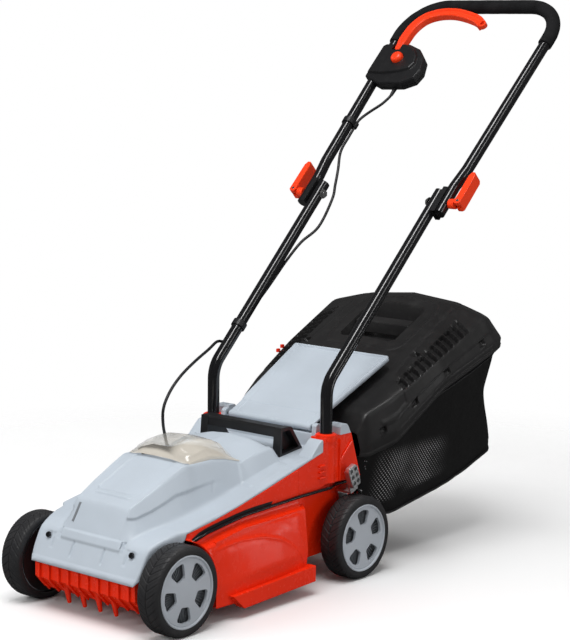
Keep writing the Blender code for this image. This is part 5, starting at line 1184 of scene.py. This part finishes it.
def bail():
    """The curved lever, a channel with a loop at its free end."""
    spine = flowing([(x, s, 0) for x, s in BAIL_SPINE], 0.006)
    height = 0.0120
    rings = []
    for i, point in enumerate(spine):
        way = (spine[min(i + 1, len(spine) - 1)] - spine[max(i - 1, 0)]).normalized()
        side = Vector((-way.y, way.x, 0))
        full = rise(0.388, 0.408, point.y) * (1 - 0.12 * rise(-0.01, 0.016, point.x))
        section = [(-7.5 - 3.5 * full, -5.3 - 3 * full), (-5.2 - 3 * full, -5.5 - 3 * full), (5.2, -5.5 - 3 * full),
                   (7.5, -5.3 - 3 * full), (7.8 + full, 1.6), (7.4 + full, 4.2 + 2 * full),
                   (5.2 + full, 5.4 + 3 * full), (3.2, 4.9 + 3 * full), (2.0 - full, 2.6 + 2.6 * full),
                   (-2.4 - 2 * full, 2.6 + 1.8 * full),
                   (-3.6 - 3 * full, 4.9 + 1.6 * full), (-5.0 - 3.5 * full, 5.0 + 1.4 * full),
                   (-6.8 - 3.5 * full, 3.8 + full), (-7.6 - 3.5 * full, 1.2)]
        rings.append([handle_point(point.x + a * side.x / 1000, point.y + a * side.y / 1000, height + h / 1000)
                      for a, h in section])
    lever = drawn(rings)
    turn = facing(ALONG, ABOVE)
    loop = turned([(0.0042, -0.0048), (0.0082, -0.0049), (0.0086, -0.0044), (0.0086, 0.0040), (0.0080, 0.0049),
                   (0.0046, 0.0049), (0.0042, 0.0044), (0.0042, -0.0048)], 40)
    loop = placed(loop, Matrix.Translation(handle_point(*BAIL_LOOP, height)) @ turn)
    pivot = turned([(0.0, -0.0049), (0.0082, -0.0049), (0.0085, -0.0044), (0.0085, 0.0042), (0.0079, 0.0049),
                    (0.0, 0.0049)], 40)
    pivot = placed(pivot, Matrix.Translation(handle_point(*BAIL_PIVOT, height)) @ turn)
    hole = rod(handle_point(*BAIL_LOOP), handle_point(*BAIL_LOOP, 0.03), 0.0042)
    piece("bail", together(cut(lever, hole), loop, pivot), "orange_plastic", "bail", "bail_lever", least=32)


def shrunk(outline, amount):
    """The outline drawn towards its middle."""
    middle = sum((Vector(point) for point in outline), Vector((0, 0))) / len(outline)
    return [Vector(point) + (middle - Vector(point)).normalized() * amount for point in outline]


def switch_box():
    """Two half shells with a raised panel, a wide domed button and the cable's bush."""
    turn = facing(ALONG, ABOVE)

    def shell(*rings):
        return drawn([[handle_point(x, s, h) for x, s in outline] for outline, h in rings])

    cover_half = shell((BOX_OUTLINE, 0.0004), (BOX_OUTLINE, 0.0110), (shrunk(BOX_OUTLINE, 0.0025), 0.0142),
                       (shrunk(BOX_PANEL, -0.0020), 0.0150), (BOX_PANEL, 0.0190), (shrunk(BOX_PANEL, 0.0020), 0.0204))
    round_edges(cover_half, 0.0009, 2, 18)
    opening = rod(handle_point(*BUTTON, 0.0080), handle_point(*BUTTON, 0.04), 0.0136, sides=48)
    slot = placed(block((-0.1605, 0.376, 0.0062), (-0.1395, 0.418, 0.05)), Matrix.Translation(JOINT) @ turn)
    piece("switch_cover_shell", cut(cover_half, opening, slot), "black_plastic", "handle", "switch_cover")
    base_half = shell((BOX_OUTLINE, -0.0004), (shrunk(BOX_OUTLINE, 0.0008), -0.0070),
                      (shrunk(BOX_OUTLINE, 0.0060), -0.0118))
    piece("switch_base_shell", round_edges(base_half, 0.0009, 2, 18), "black_plastic", "handle", "switch_base")
    collar = turned([(0.0135, 0.0190), (0.0162, 0.0190), (0.0162, 0.0205), (0.0155, 0.0211), (0.0142, 0.0209),
                     (0.0135, 0.0198)], 56)
    collar = placed(collar, Matrix.Translation(handle_point(*BUTTON)) @ turn)
    bush = rod(handle_point(-0.118, 0.2990, -0.0066), handle_point(-0.118, 0.2740, -0.0070), 0.0048, 0.0033, 24)
    piece("switch_fittings", together(collar, round_edges(bush, 0.0006, 2, 50)), "black_plastic", "handle")
    cap = turned([(0.0, 0.0312), (0.0060, 0.0308), (0.0100, 0.0294), (0.0122, 0.0266), (0.0129, 0.0235),
                  (0.0130, 0.0126), (0.0, 0.0126)], 56)
    cap = placed(cap, Matrix.Translation(handle_point(*BUTTON)) @ turn)
    piece("button_cap", cap, "orange_plastic", "button", "safety_button")


# Cable


def lower_point(distance, turn, gap):
    """A place on the far lower tube's skin, by distance down from the fold and turn from inboard."""
    bend = Vector((-SOCKET_X, SOCKET_Y, BEND_Z))
    pin = Vector((-JOINT_X, *JOINT.yz))
    down = (bend - pin).normalized()
    inboard = (Vector((1, 0, 0)) - down * down.x).normalized()
    under = inboard.cross(down).normalized()
    if under.z > 0:
        under.negate()
    turn = math.radians(turn)
    return pin + down * distance + (inboard * math.cos(turn) + under * math.sin(turn)) * gap


def shoulder_point(x, y):
    edge, foot, _, shoulder_z, foot_z, _, _ = between(COVER, y)
    share = (edge + x) / (edge - foot)
    return Vector((x, y, shoulder_z + (foot_z - shoulder_z) * share))


GLAND = shoulder_point(-0.1205, 0.272)
GLAND_OUT = (shoulder_point(-0.1205, 0.282) - GLAND).cross(shoulder_point(-0.1105, 0.272) - GLAND).normalized()
GLAND_OUT *= 1 if GLAND_OUT.z > 0 else -1
FOLD_TOP, FOLD_FOOT = handle_point(-0.137, 0.045, -0.024), handle_point(-0.118, -0.060, -0.027)
CABLE_OFFSET = TUBE_RADIUS + CABLE_RADIUS + 2 * TOUCH


def cable_route():
    def upper(s, gap=CABLE_OFFSET):
        share = (max(s, FLARE_S) - FLARE_S) / (HANDLE_LENGTH - FLARE_S)
        across = -FLARE_X * (1 - share) - HANDLE_TOP_HALF * share
        return handle_point(across + gap * 0.75, s, -gap * 0.66)

    g = CABLE_OFFSET
    leaving = ((-0.118, 0.2795, -0.0070), (-0.1195, 0.269, -0.0072), (-0.129, 0.250, -0.0080),
               (-0.145, 0.232, -0.0090), (-0.1555, 0.218, -0.0093), (-0.1610, 0.208, -0.0095))
    first = [handle_point(*place) for place in leaving] + [upper(s) for s in (0.199, 0.190, 0.180, 0.160)]
    first += [upper(0.120, g + 0.001), handle_point(-0.147, 0.080, -0.018), FOLD_TOP,
              handle_point(-0.126, 0.010, -0.027), FOLD_FOOT]
    lower = ((0.110, 55, 0.006), (0.160, 70, 0.001), (0.220, 88, 0), (0.280, 112, 0), (0.310, 127, 0),
             (0.322, 132, 0), (0.330, 135, 0), (0.338, 138, 0), (0.352, 146, 0.0007), (0.368, 160, 0.0015))
    second = [lower_point(distance, turn, g + clear_by) for distance, turn, clear_by in lower]
    loop = [(-0.1500, 0.4320, 0.3965), (-0.1445, 0.402, 0.3855), (-0.138, 0.356, 0.368), (-0.133, 0.315, 0.348),
            (-0.129, 0.284, 0.325), (-0.125, 0.263, 0.299), (-0.1225, 0.2585, 0.272)]
    return first + second + [Vector(p) for p in loop] + [GLAND + GLAND_OUT * 0.0270, GLAND + GLAND_OUT * 0.0165]


def cable():
    path = flowing(cable_route(), 0.006)
    sides = 20
    bm = swept(path, circle(CABLE_RADIUS, sides))
    bm.verts.index_update()
    run = bm.loops.layers.uv.new("run")
    lengths = [0.0]
    for near, far in zip(path, path[1:]):
        lengths.append(lengths[-1] + (far - near).length)
    bm.verts.ensure_lookup_table()
    for face in bm.faces:
        turns = [loop.vert.index % sides for loop in face.loops]
        for loop, turn in zip(face.loops, turns):
            if max(turns) - min(turns) > sides / 2 and turn < sides / 2:
                turn += sides
            row = min(loop.vert.index // sides, len(lengths) - 1)
            loop[run].uv = (turn / sides, lengths[row])
    made = piece("switch_cable", bm, "cable_rubber", None, ("cable_upper", "cable_fold", "cable_lower"), weighted=False)
    FOLD_FOOT + ORIGIN
    FOLD_TOP + ORIGIN
    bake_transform(made)
    world = [point + ORIGIN for point in path]
    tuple(world[0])


# Rear flap


def flap_matrix():
    way = Vector((0, math.cos(FLAP_LEAN), math.sin(FLAP_LEAN)))
    up = Vector((0, -math.sin(FLAP_LEAN), math.cos(FLAP_LEAN)))
    return Matrix.Translation(FLAP_PIVOT) @ facing(way, up)


def flap_width(d):
    return 0.0985 + (0.1145 - 0.0985) * min(max((d - 0.030) / 0.20, 0), 1)


def flap_height(x, d):
    """Height of the flap's top: a sunk field inside a bevelled rim, with a hinge line across its front."""
    half = flap_width(d)
    side = half - abs(x)
    end = FLAP_LENGTH - d
    rim = max(1 - rise(0.003, 0.015, side) if d > 0.040 else 0, 1 - rise(0.0025, 0.0075, end))
    rim *= rise(0.030, 0.055, d)
    outer = 1 - 0.45 * (1 - rise(0.0, 0.0030, min(side, end)))
    height = 0.0046 + 0.0042 * rim * outer
    dish = math.cos(min(abs(x) / half, 1) * math.pi / 2) * math.sin(min(max(d / FLAP_LENGTH, 0), 1) * math.pi)
    height -= 0.0007 * dish
    line = 1 - rise(0.0006, 0.0016, abs(d - 0.038)) if abs(x) < 0.0835 else 0
    leg = 1 - rise(0.0006, 0.0016, abs(abs(x) - 0.0830)) if 0.004 < d < 0.038 else 0
    return height - 0.0013 * max(line, leg)


def flap():
    corner = 0.008

    def place(u, v):
        d = 0.0005 + v * (FLAP_LENGTH - 0.0010)
        over = max(d - (FLAP_LENGTH - 0.0005 - corner), 0)
        half = flap_width(d) - corner + math.sqrt(max(corner**2 - over**2, 0))
        x = half * (u - 0.5) * 2
        return Vector((x, d, flap_height(x, d)))

    skin = sheet(130, 150, place)
    face_out(skin, (0, 0.1, 0), (0, 0, 1))
    wall = bmesh.ops.extrude_edge_only(skin, edges=[e for e in skin.edges if e.is_boundary])
    for vert in wall["geom"]:
        if isinstance(vert, bmesh.types.BMVert):
            vert.co.z = 0.0004
    bmesh.ops.recalc_face_normals(skin, faces=skin.faces)
    face_out(skin, (0, 0.1, 0), (0, 0, 1))
    round_edges(skin, 0.0014, 2, 62)
    piece("flap_panel", placed(skin, flap_matrix()), "grey_plastic", "flap", "rear_flap", thick=0.0026,
          weighted=False, least=60)
    barrel = round_edges(rod((-0.0978, 0, 0), (0.0978, 0, 0), 0.0062), 0.0006, 2, 60)
    piece("flap_barrel", placed(barrel, flap_matrix()), "grey_plastic", "flap")


# Grass box


# Shares of the box lid's section from rim to crown, and its stations by share of its length
BOX_SHARES = [0, 0.17, 0.42, 0.66, 1.0]
BOX_STATIONS = [(0.0, 0.487), (0.08, 0.503), (0.30, 0.590), (0.74, 0.800), (0.88, 0.850), (1.0, 0.9112)]


def box_lid_point(across, along):
    y = between(BOX_STATIONS, along)[0]
    edge, rim_z, upper, upper_z, skirt_z, shoulder_z, crown_z = eased(BOX_LID, y, 0.009)
    points = [Vector((edge, y, rim_z)), Vector((edge + 0.003, y, skirt_z)), Vector((upper, y, upper_z)),
              Vector((upper * 0.6, y, shoulder_z)), Vector((0, y, crown_z))]
    return mirrored_line(points, BOX_SHARES, across, 0.035)


def box_lid_depth(at, normal):
    x, y, z = at
    side = abs(x)
    _, rim_z, upper, upper_z, _, _, _ = between(BOX_LID, y)
    out = 0.0
    # Slanted vents along the shoulder, and a square hole beside them
    if 0.560 < y < 0.800 and 0.124 < side < upper + 0.004 and z > upper_z - 0.012:
        run = y + (side - 0.165) * 0.35
        band = rise(0.143, 0.146, side) * (1 - rise(upper - 0.003, upper, side))
        within = rise(0.586, 0.588, run) * (1 - rise(0.776, 0.778, run))
        bars = rise(0.26, 0.36, ((run - 0.586) / 0.016) % 1)
        out -= 0.0075 * band * within * bars
        out += 0.0012 * band * within * (1 - bars)
        out -= 0.0075 * inside(side - 0.1325, y - 0.672, 0.0055, 0.0055, 0.001, 0.0008)
    # Wall: an upper strip stands out over a lower one, with four slots under its edge
    if side > upper - 0.006 and z < upper_z + 0.002:
        step = min(0.041, (upper_z - rim_z) * 0.60)
        up = z - rim_z - step
        top = 0.010 if y < 0.588 else upper_z - rim_z - step - 0.002
        out += 0.0014 * rise(-0.0005, 0.0009, up) * (1 - rise(top - 0.0015, top, up)) * rise(0.530, 0.533, y) * (
            1 - rise(0.836, 0.842, y))
        for middle in (0.532, 0.607, 0.690, 0.790):
            slot = 1 - rise(0.0062, 0.0074, abs(y - middle))
            out -= 0.0060 * slot * rise(-0.0110, -0.0098, up) * (1 - rise(-0.0022, -0.0010, up))
            out += 0.0012 * slot * rise(-0.0150, -0.0135, up) * (1 - rise(-0.0122, -0.0112, up))
        out += 0.0014 * (1 - rise(0.0055, 0.0070, z - rim_z))
    # Creases over the top and a shallow frame round the recess
    if side < upper:
        outer = inside(x, y - 0.738, 0.094, 0.076, 0.030, 0.0016)
        out += 0.0014 * (outer - inside(x, y - 0.738, 0.090, 0.072, 0.028, 0.0016))
        out -= 0.0008 * (1 - rise(0.0008, 0.0024, abs(side - 0.118 - (0.80 - y) * 0.06))) * rise(0.60, 0.64, y) * (
            1 - rise(0.83, 0.86, y))
        out += 0.0012 * (1 - rise(0.001, 0.0035, abs(y - 0.842))) * (1 - rise(upper * 0.9, upper, side))
    return out


def sink_grip(at):
    """Lowers the points of the lid inside its grab recess."""
    hollow = inside(at.x, at.y - 0.740, 0.0630, 0.0510, 0.012, 0.0030)
    if hollow:
        floor = 0.3665 + (at.y - 0.690) * 0.34
        at.z += (floor - at.z) * hollow


def grass_box_lid():
    skin = sheet(180, 262, box_lid_point, closed=True)
    face_out(skin, (0, 0.62, 0.36), (0, 0, 1))
    carve(skin, box_lid_depth)
    for vert in skin.verts:
        sink_grip(vert.co)
    piece("grass_box_lid", skin, "lid_plastic", "grass_box", "box_lid", thick=0.0022, weighted=False, least=60)
    bar = prism([(0.738, 0.392), (0.756, 0.398), (0.756, 0.4235), (0.738, 0.4150)], -0.0635, 0.0635)
    piece("grab_bar", round_edges(bar, 0.0022, 3), "lid_plastic", "grass_box")
    clips = [block((-0.1815, y - 0.0035, z - 0.0035), (-0.1755, y + 0.0035, z + 0.0035), 0.001)
             for y, z in ((0.640, 0.352), (0.652, 0.359))]
    piece("lid_clip", together(*clips), "red_plastic", "grass_box")


def bag_ring(row):
    y_top, top, z_top, y_low, low, z_low = row
    rear = rise(0.72, 0.84, y_top)
    waist_x = top * 0.55 + low * 0.45 - 0.003 - 0.009 * rear
    waist_y = y_top * 0.60 + y_low * 0.40 - 0.012 * rear
    return [Vector((0, y_low, z_low - 0.004)), Vector((low * 0.40, y_low, z_low - 0.003)),
            Vector((low - 0.012, y_low, z_low)), Vector((low, y_low + 0.001, z_low + 0.014 + 0.012 * rear)),
            Vector((waist_x, waist_y, z_top * 0.62 + z_low * 0.38)), Vector((top - 0.001, y_top, z_top))]


def bag_point(around, along):
    """A point of the bag; around runs from one rim under the floor to the other and along from mouth to rear."""
    stations = [0, 0.12, 0.36, 0.54, 0.70, 0.80, 0.89, 0.95, 1.0]
    table = [(share, *row) for share, row in zip(stations, BAG)]
    row = eased(table, along, 0.035)
    side = 1 if around < 0.5 else -1
    share = abs(around - 0.5) * 2
    at = on_line(bag_ring(row), [0, 0.10, 0.26, 0.34, 0.72, 1.0], share, 0.05)
    return Vector((at.x * side, at.y, at.z))


def bag():
    skin = sheet(150, 170, bag_point)
    bmesh.ops.remove_doubles(skin, verts=skin.verts, dist=1e-6)
    face_out(skin, (0.16, 0.70, 0.2), (1, 0, 0))

    def slack(at, normal):
        """Cloth between its hoops: it draws in at mid height and falls in soft creases."""
        up = (at.z - 0.10) / 0.25
        belly = math.sin(min(max(up, 0), 1) * math.pi)
        pull = noise.noise(Vector((at.x * 9, at.y * 11, at.z * 5))) * 0.0040
        creases = noise.noise(Vector((at.y * 34 + at.x * 20, at.z * 8, 3.1))) * 0.0022
        taut = rise(0.0, 0.35, 1 - abs(normal.z))
        return (-0.0035 * belly + pull * belly + creases * (0.35 + belly * 0.65)) * taut

    carve(skin, slack)
    for _ in range(2):
        bmesh.ops.smooth_vert(skin, verts=[v for v in skin.verts if not v.is_boundary], factor=0.5,
                              use_axis_x=True, use_axis_y=True, use_axis_z=True)
    cloth = skin.loops.layers.uv.new("cloth")
    open_mesh = skin.verts.layers.float.new("open_mesh")
    for vert in skin.verts:
        x, y, z = vert.co
        low = z - (y - 0.575) * 0.19
        along = rise(0.530, 0.570, y) * (1 - rise(0.70, 0.75, y))
        vert[open_mesh] = along * rise(0.110, 0.122, low) * (1 - rise(0.195, 0.225, z))
    for face in skin.faces:
        flat = abs(face.normal.z) > 0.7
        back = abs(face.normal.y) > 0.7 and not flat
        for loop in face.loops:
            x, y, z = loop.vert.co
            loop[cloth].uv = (x, y) if flat else ((x, z) if back else (y, z))
    near_skin = BVHTree.FromBMesh(skin)
    area = sum(face.calc_area() for face in skin.faces)

    def seam_cord(points, radius):
        """Piping sewn on the cloth along a line of points near it."""
        line = []
        for point in points:
            spot, normal, _, _ = near_skin.find_nearest(point)
            line.append(spot + normal * radius * 0.4)
        return swept(line, circle(radius, 12))

    cloth_piece = piece("grass_bag", skin, "bag_fabric", "grass_box", "box_bag", thick=0.0012, weighted=False,
                        least=60)
    welts = []
    for sign in (1, -1):
        welts.append(seam_cord([bag_point(0.5 + sign * 0.155, i / 40) for i in range(41)], 0.0028))
        welts.append(seam_cord([bag_point(0.5 + sign * (0.18 + 0.31 * i / 30), 0.745 - 0.05 * i / 30)
                                for i in range(31)], 0.0012))
        welts.append(seam_cord([bag_point(0.5 + sign * 0.485, 0.02 + i / 42) for i in range(41)], 0.0018))
    piping = piece("bag_piping", together(*welts), "black_plastic", "grass_box", weighted=False)
    eyelets = []
    for y, z in ((0.5085, 0.2000), (0.5135, 0.1990), (0.5120, 0.1880), (0.5150, 0.1830)):
        spot, normal, _, _ = near_skin.find_nearest((0.145, y, z))
        eyelets.append(rod(spot - normal * 0.001, spot + normal * 0.0012, 0.0015, 0.0012, sides=12))
    rings = piece("bag_eyelets", together(*eyelets), "zinc", "grass_box")


# Stage


def stage():
    scene = bpy.context.scene
    scene.view_settings.view_transform = "Standard"
    looks = scene.mower_light
    floor_finish = Finish("floor", (0.90, 0.90, 0.90))
    ray = floor_finish.node("ShaderNodeLightPath", out="Is Camera Ray")
    shine = floor_finish.node("ShaderNodeLightPath", out="Is Glossy Ray")
    paper = floor_finish.spread(floor_finish.noise(3, 2), 0.3, 0.7, 0.55, 0.65)
    away = floor_finish.node("ShaderNodeVectorMath", {"operation": "LENGTH"}, {0: floor_finish.place}, out="Value")
    unseen = floor_finish.blend(shine, (0.50, 0.50, 0.50), (0.10, 0.10, 0.10))
    floor_finish.finish(Base_Color=floor_finish.blend(ray, unseen, (0.97, 0.97, 0.97)), Roughness=paper,
                        Alpha=floor_finish.spread(away, 0.75, 1.55, 1.0, 0.0), IOR=1.2)
    bm = bmesh.new()
    bmesh.ops.create_grid(bm, x_segments=1, y_segments=1, size=30)
    mesh = bpy.data.meshes.new("floor")
    bm.to_mesh(mesh)
    bm.free()
    mesh.materials.append(floor_finish.material)
    floor = bpy.data.objects.new("floor", mesh)
    scene.collection.objects.link(floor)

    world = bpy.data.worlds.new("studio")
    scene.world = world
    world.use_nodes = True
    tree = world.node_tree
    sky = tree.nodes["Background"]
    sky.inputs["Color"].default_value = (1, 1, 1, 1)
    path = tree.nodes.new("ShaderNodeLightPath")
    seen_sky, glossy_sky = tree.nodes.new("ShaderNodeMapRange"), tree.nodes.new("ShaderNodeMapRange")
    glossy_sky.inputs["To Min"].default_value = looks.sky
    glossy_sky.inputs["To Max"].default_value = looks.shine
    seen_sky.inputs["To Max"].default_value = 1.0
    tree.links.new(path.outputs["Is Glossy Ray"], glossy_sky.inputs["Value"])
    tree.links.new(glossy_sky.outputs[0], seen_sky.inputs["To Min"])
    tree.links.new(path.outputs["Is Camera Ray"], seen_sky.inputs["Value"])
    tree.links.new(seen_sky.outputs[0], sky.inputs["Strength"])

    lamps = [
        ("key", (0.5, -1.2, 3.1), (0, 0, 0.2), (1.9, 1.7), looks.key, False),
        ("front", (-0.9, -3.1, 1.7), (0, 0, 0.2), (1.0, 1.3), looks.front, False),
        ("side", (3.0, 0.5, 1.0), (0, 0.1, 0.3), (0.4, 1.5), looks.side, False),
        ("far", (-2.6, -0.6, 1.9), (0, 0, 0.3), (1.2, 1.6), looks.far, False),
        ("rear", (-0.4, 2.8, 2.4), (0, 0, 0.5), (1.6, 0.8), looks.rear, False),
        ("strip_above", (0.5, -0.9, 3.1), (0, 0.1, 0.4), (0.42, 2.4), looks.strips * 1.5, True),
        ("strip_side", (2.5, 0.6, 2.1), (0.1, 0.3, 0.8), (0.16, 2.0), looks.strips * 0.2, True),
        ("panel_low", (1.70, 1.36, 0.075), (0.17, -0.3, 0.07), (0.42, 0.12), looks.strips * 0.032, True),
    ]
    for name, at, target, size, power, gloss in lamps:
        light = bpy.data.lights.new(name, "AREA")
        light.shape, light.size, light.size_y, light.energy = "RECTANGLE", size[0], size[1], power
        holder = bpy.data.objects.new(name, light)
        holder.location = at
        holder.rotation_euler = (Vector(target) - Vector(at)).to_track_quat("-Z", "Y").to_euler()
        holder.visible_glossy, holder.visible_diffuse = gloss, not gloss
        scene.collection.objects.link(holder)

    yaw, pitch, roll = (math.radians(angle) for angle in CAMERA_TURNS)
    ahead = Vector((-math.sin(yaw) * math.cos(pitch), math.cos(yaw) * math.cos(pitch), -math.sin(pitch)))
    right = Vector((math.cos(yaw), math.sin(yaw), 0))
    up = right.cross(ahead)
    turned_right = right * math.cos(roll) + up * math.sin(roll)
    turned_up = up * math.cos(roll) - right * math.sin(roll)
    lens = bpy.data.cameras.new("camera")
    lens.sensor_width, lens.lens = SENSOR, FOCAL_PIXELS * SENSOR / PHOTO_HEIGHT
    lens.clip_end = 60
    camera = bpy.data.objects.new("camera", lens)
    camera.matrix_world = Matrix.Translation(CAMERA_AT + ORIGIN) @ Matrix(
        (turned_right, turned_up, -ahead)).transposed().to_4x4()
    scene.collection.objects.link(camera)
    scene.camera = camera


# Settings a user may change


def colour_property(name, description, default):
    return FloatVectorProperty(name=name, description=description, default=default, subtype="COLOR", size=3,
                               min=0, max=1)


def power_property(name, description, default):
    return FloatProperty(name=name, description=description, default=default, min=0, unit="POWER")


class MowerColours(PropertyGroup):
    red: colour_property("Deck red", "Colour of the deck's plastic", (0.88, 0.028, 0.004))
    grey: colour_property("Cover grey", "Colour of the cover and flap", (0.47, 0.525, 0.585))
    hub: colour_property("Hub grey", "Colour of the wheel discs", (0.44, 0.475, 0.52))
    black: colour_property("Trim black", "Colour of the handle parts and switch box", (0.0105, 0.0105, 0.0115))
    lid: colour_property("Box black", "Colour of the grass box lid", (0.0150, 0.0145, 0.0148))
    orange: colour_property("Lever orange", "Colour of the bail, button and cam levers", (0.92, 0.050, 0.008))
    tyre: colour_property("Tyre black", "Colour of the tyres", (0.024, 0.024, 0.026))
    foam: colour_property("Foam black", "Colour of the grip", (0.0060, 0.0060, 0.0066))
    paint: colour_property("Tube black", "Colour of the painted tubes", (0.006, 0.006, 0.007))
    cloth: colour_property("Bag black", "Colour of the bag's cloth", (0.0062, 0.0060, 0.0062))
    clear: colour_property("Clear tint", "Tint of the clear lid", (0.86, 0.80, 0.70))


class MowerLight(PropertyGroup):
    key: power_property("Key", "Power of the key light", 68)
    strips: power_property("Strips", "Power of the narrow lights that show in gloss", 34)
    front: power_property("Front", "Power of the light in front", 27)
    side: power_property("Side", "Power of the near side light", 15)
    far: power_property("Far", "Power of the far side light", 20)
    rear: power_property("Rear", "Power of the light from behind", 24)
    sky: FloatProperty(name="Sky", description="Strength of the even light all round", default=0.34, min=0, max=2)
    shine: FloatProperty(name="Shine", description="Strength of the surroundings in gloss", default=0.09, min=0, max=2)


class MowerFinishes(Operator):
    """Makes the mower's materials"""

    bl_idname = "mower.finishes"
    bl_label = "Finishes"

    def execute(self, context):
        c = context.scene.mower_colours
        moulded("red_plastic", c.red, 0.24, 900, 0.00003, dusty=0.02, spread=0.05, gloss=0.36)
        moulded("grey_plastic", c.grey, 0.40, 1500, 0.00016)
        moulded("hub_plastic", c.hub, 0.42, 1500, 0.00016)
        moulded("black_plastic", c.black, 0.36, 1400, 0.00018, dusty=0.06, spread=0.2)
        moulded("lid_plastic", c.lid, 0.36, 1100, 0.00022, dusty=0.14, spread=0.2)
        moulded("orange_plastic", c.orange, 0.30, 900, 0.00004, dusty=0.02, spread=0.05, gloss=0.40)
        moulded("tray_plastic", (0.44, 0.42, 0.38), 0.45, 1200, 0.0002)
        rubber("tyre_rubber", c.tyre, 0.52, 0.22)
        foam_rubber("foam", c.foam)
        painted("black_paint", c.paint, 0.17)
        metal("steel", (0.56, 0.56, 0.55), 0.30)
        metal("zinc", (0.86, 0.87, 0.88), 0.46)
        # The hub's grey darkened: painted shade for the pan behind the wheel windows and for the slot on the cover
        moulded("painted_shade_grey", shade(c.hub, 0.42), 0.5, 1500, 0.00016)
        metal("dark_steel", (0.10, 0.10, 0.105), 0.38)
        metal("brass", (0.62, 0.42, 0.18), 0.30)
        woven("bag_fabric", c.cloth)
        clear("clear_lid", c.clear)
        circuit("circuit_board", (0.02, 0.15, 0.06))
        ribbed_cable("cable_rubber", c.black)
        return {"FINISHED"}


class MowerStage(Operator):
    """Sets up the floor, the lights and the camera"""

    bl_idname = "mower.stage"
    bl_label = "Stage"

    def execute(self, context):
        stage()
        return {"FINISHED"}


class MowerCable(Operator):
    """Builds the cable from the switch box to the cover"""

    bl_idname = "mower.cable"
    bl_label = "Cable"

    def execute(self, context):
        cable()
        return {"FINISHED"}


class MowerCover(Operator):
    """Builds the top cover, its clear lid and the battery's ribs"""

    bl_idname = "mower.cover"
    bl_label = "Cover"

    def execute(self, context):
        cover()
        battery_bay()
        return {"FINISHED"}


class MowerDeck(Operator):
    """Builds the deck with its flanks, steps and trims"""

    bl_idname = "mower.deck"
    bl_label = "Deck"

    def execute(self, context):
        deck()
        return {"FINISHED"}


class MowerWheels(Operator):
    """Builds the four wheels"""

    bl_idname = "mower.wheels"
    bl_label = "Wheels"

    def execute(self, context):
        wheels()
        return {"FINISHED"}


class MowerHeight(Operator):
    """Builds the height rod and its knob"""

    bl_idname = "mower.height"
    bl_label = "Height setting"

    def execute(self, context):
        height_setting()
        return {"FINISHED"}


class MowerHandles(Operator):
    """Builds the tubes, the grip and the fold joints"""

    bl_idname = "mower.handles"
    bl_label = "Handles"

    def execute(self, context):
        lower_tubes()
        upper_tube()
        fold_joints()
        return {"FINISHED"}


class MowerSwitch(Operator):
    """Builds the bail and the details of the switch box"""

    bl_idname = "mower.switch"
    bl_label = "Switch and bail"

    def execute(self, context):
        bail()
        switch_box()
        return {"FINISHED"}


class MowerFlap(Operator):
    """Builds the rear flap"""

    bl_idname = "mower.flap"
    bl_label = "Rear flap"

    def execute(self, context):
        flap()
        return {"FINISHED"}


class MowerGrassBox(Operator):
    """Builds the grass box: its lid and its bag"""

    bl_idname = "mower.grass_box"
    bl_label = "Grass box"

    def execute(self, context):
        grass_box_lid()
        bag()
        return {"FINISHED"}


class MowerFittings(Operator):
    """Rounds the edges of the smaller fittings and finishes the inner parts"""

    bl_idname = "mower.fittings"
    bl_label = "Fittings"

    def execute(self, context):
        for node, finish, width, least in SOFTENED:
            body = frame["nodes"][node]["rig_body"]
            piece(f"{node}_look", from_solid(node, width, least), finish, body, node, at_axle=False)
        for node, finish in FINISHED.items():
            data = frame["nodes"][node].data
            data.materials.clear()
            data.materials.append(bpy.data.materials[look_name(finish)])
        return {"FINISHED"}


OPERATORS = (MowerFinishes, MowerStage, MowerCable, MowerCover, MowerDeck, MowerWheels, MowerHeight, MowerHandles,
             MowerSwitch, MowerFlap, MowerGrassBox, MowerFittings)


class MowerPanel(Panel):
    bl_idname = "VIEW3D_PT_mower"
    bl_label = "Cordless lawn mower"
    bl_space_type = "VIEW_3D"
    bl_region_type = "UI"
    bl_category = "Mower"

    def draw(self, context):
        for settings in (context.scene.mower_colours, context.scene.mower_light):
            for name in settings.__annotations__:
                self.layout.prop(settings, name)
        for operator in OPERATORS:
            self.layout.operator(operator.bl_idname)


CLASSES = (MowerColours, MowerLight, *OPERATORS, MowerPanel)


def register():
    for made in CLASSES:
        bpy.utils.register_class(made)
    bpy.types.Scene.mower_colours = PointerProperty(type=MowerColours)
    bpy.types.Scene.mower_light = PointerProperty(type=MowerLight)


def unregister():
    del bpy.types.Scene.mower_light
    del bpy.types.Scene.mower_colours
    for made in reversed(CLASSES):
        bpy.utils.unregister_class(made)


def main():
    register()
    for operator in OPERATORS:
        category, name = operator.bl_idname.split(".")
        getattr(getattr(bpy.ops, category), name)()


if __name__ == "__main__":
    main()
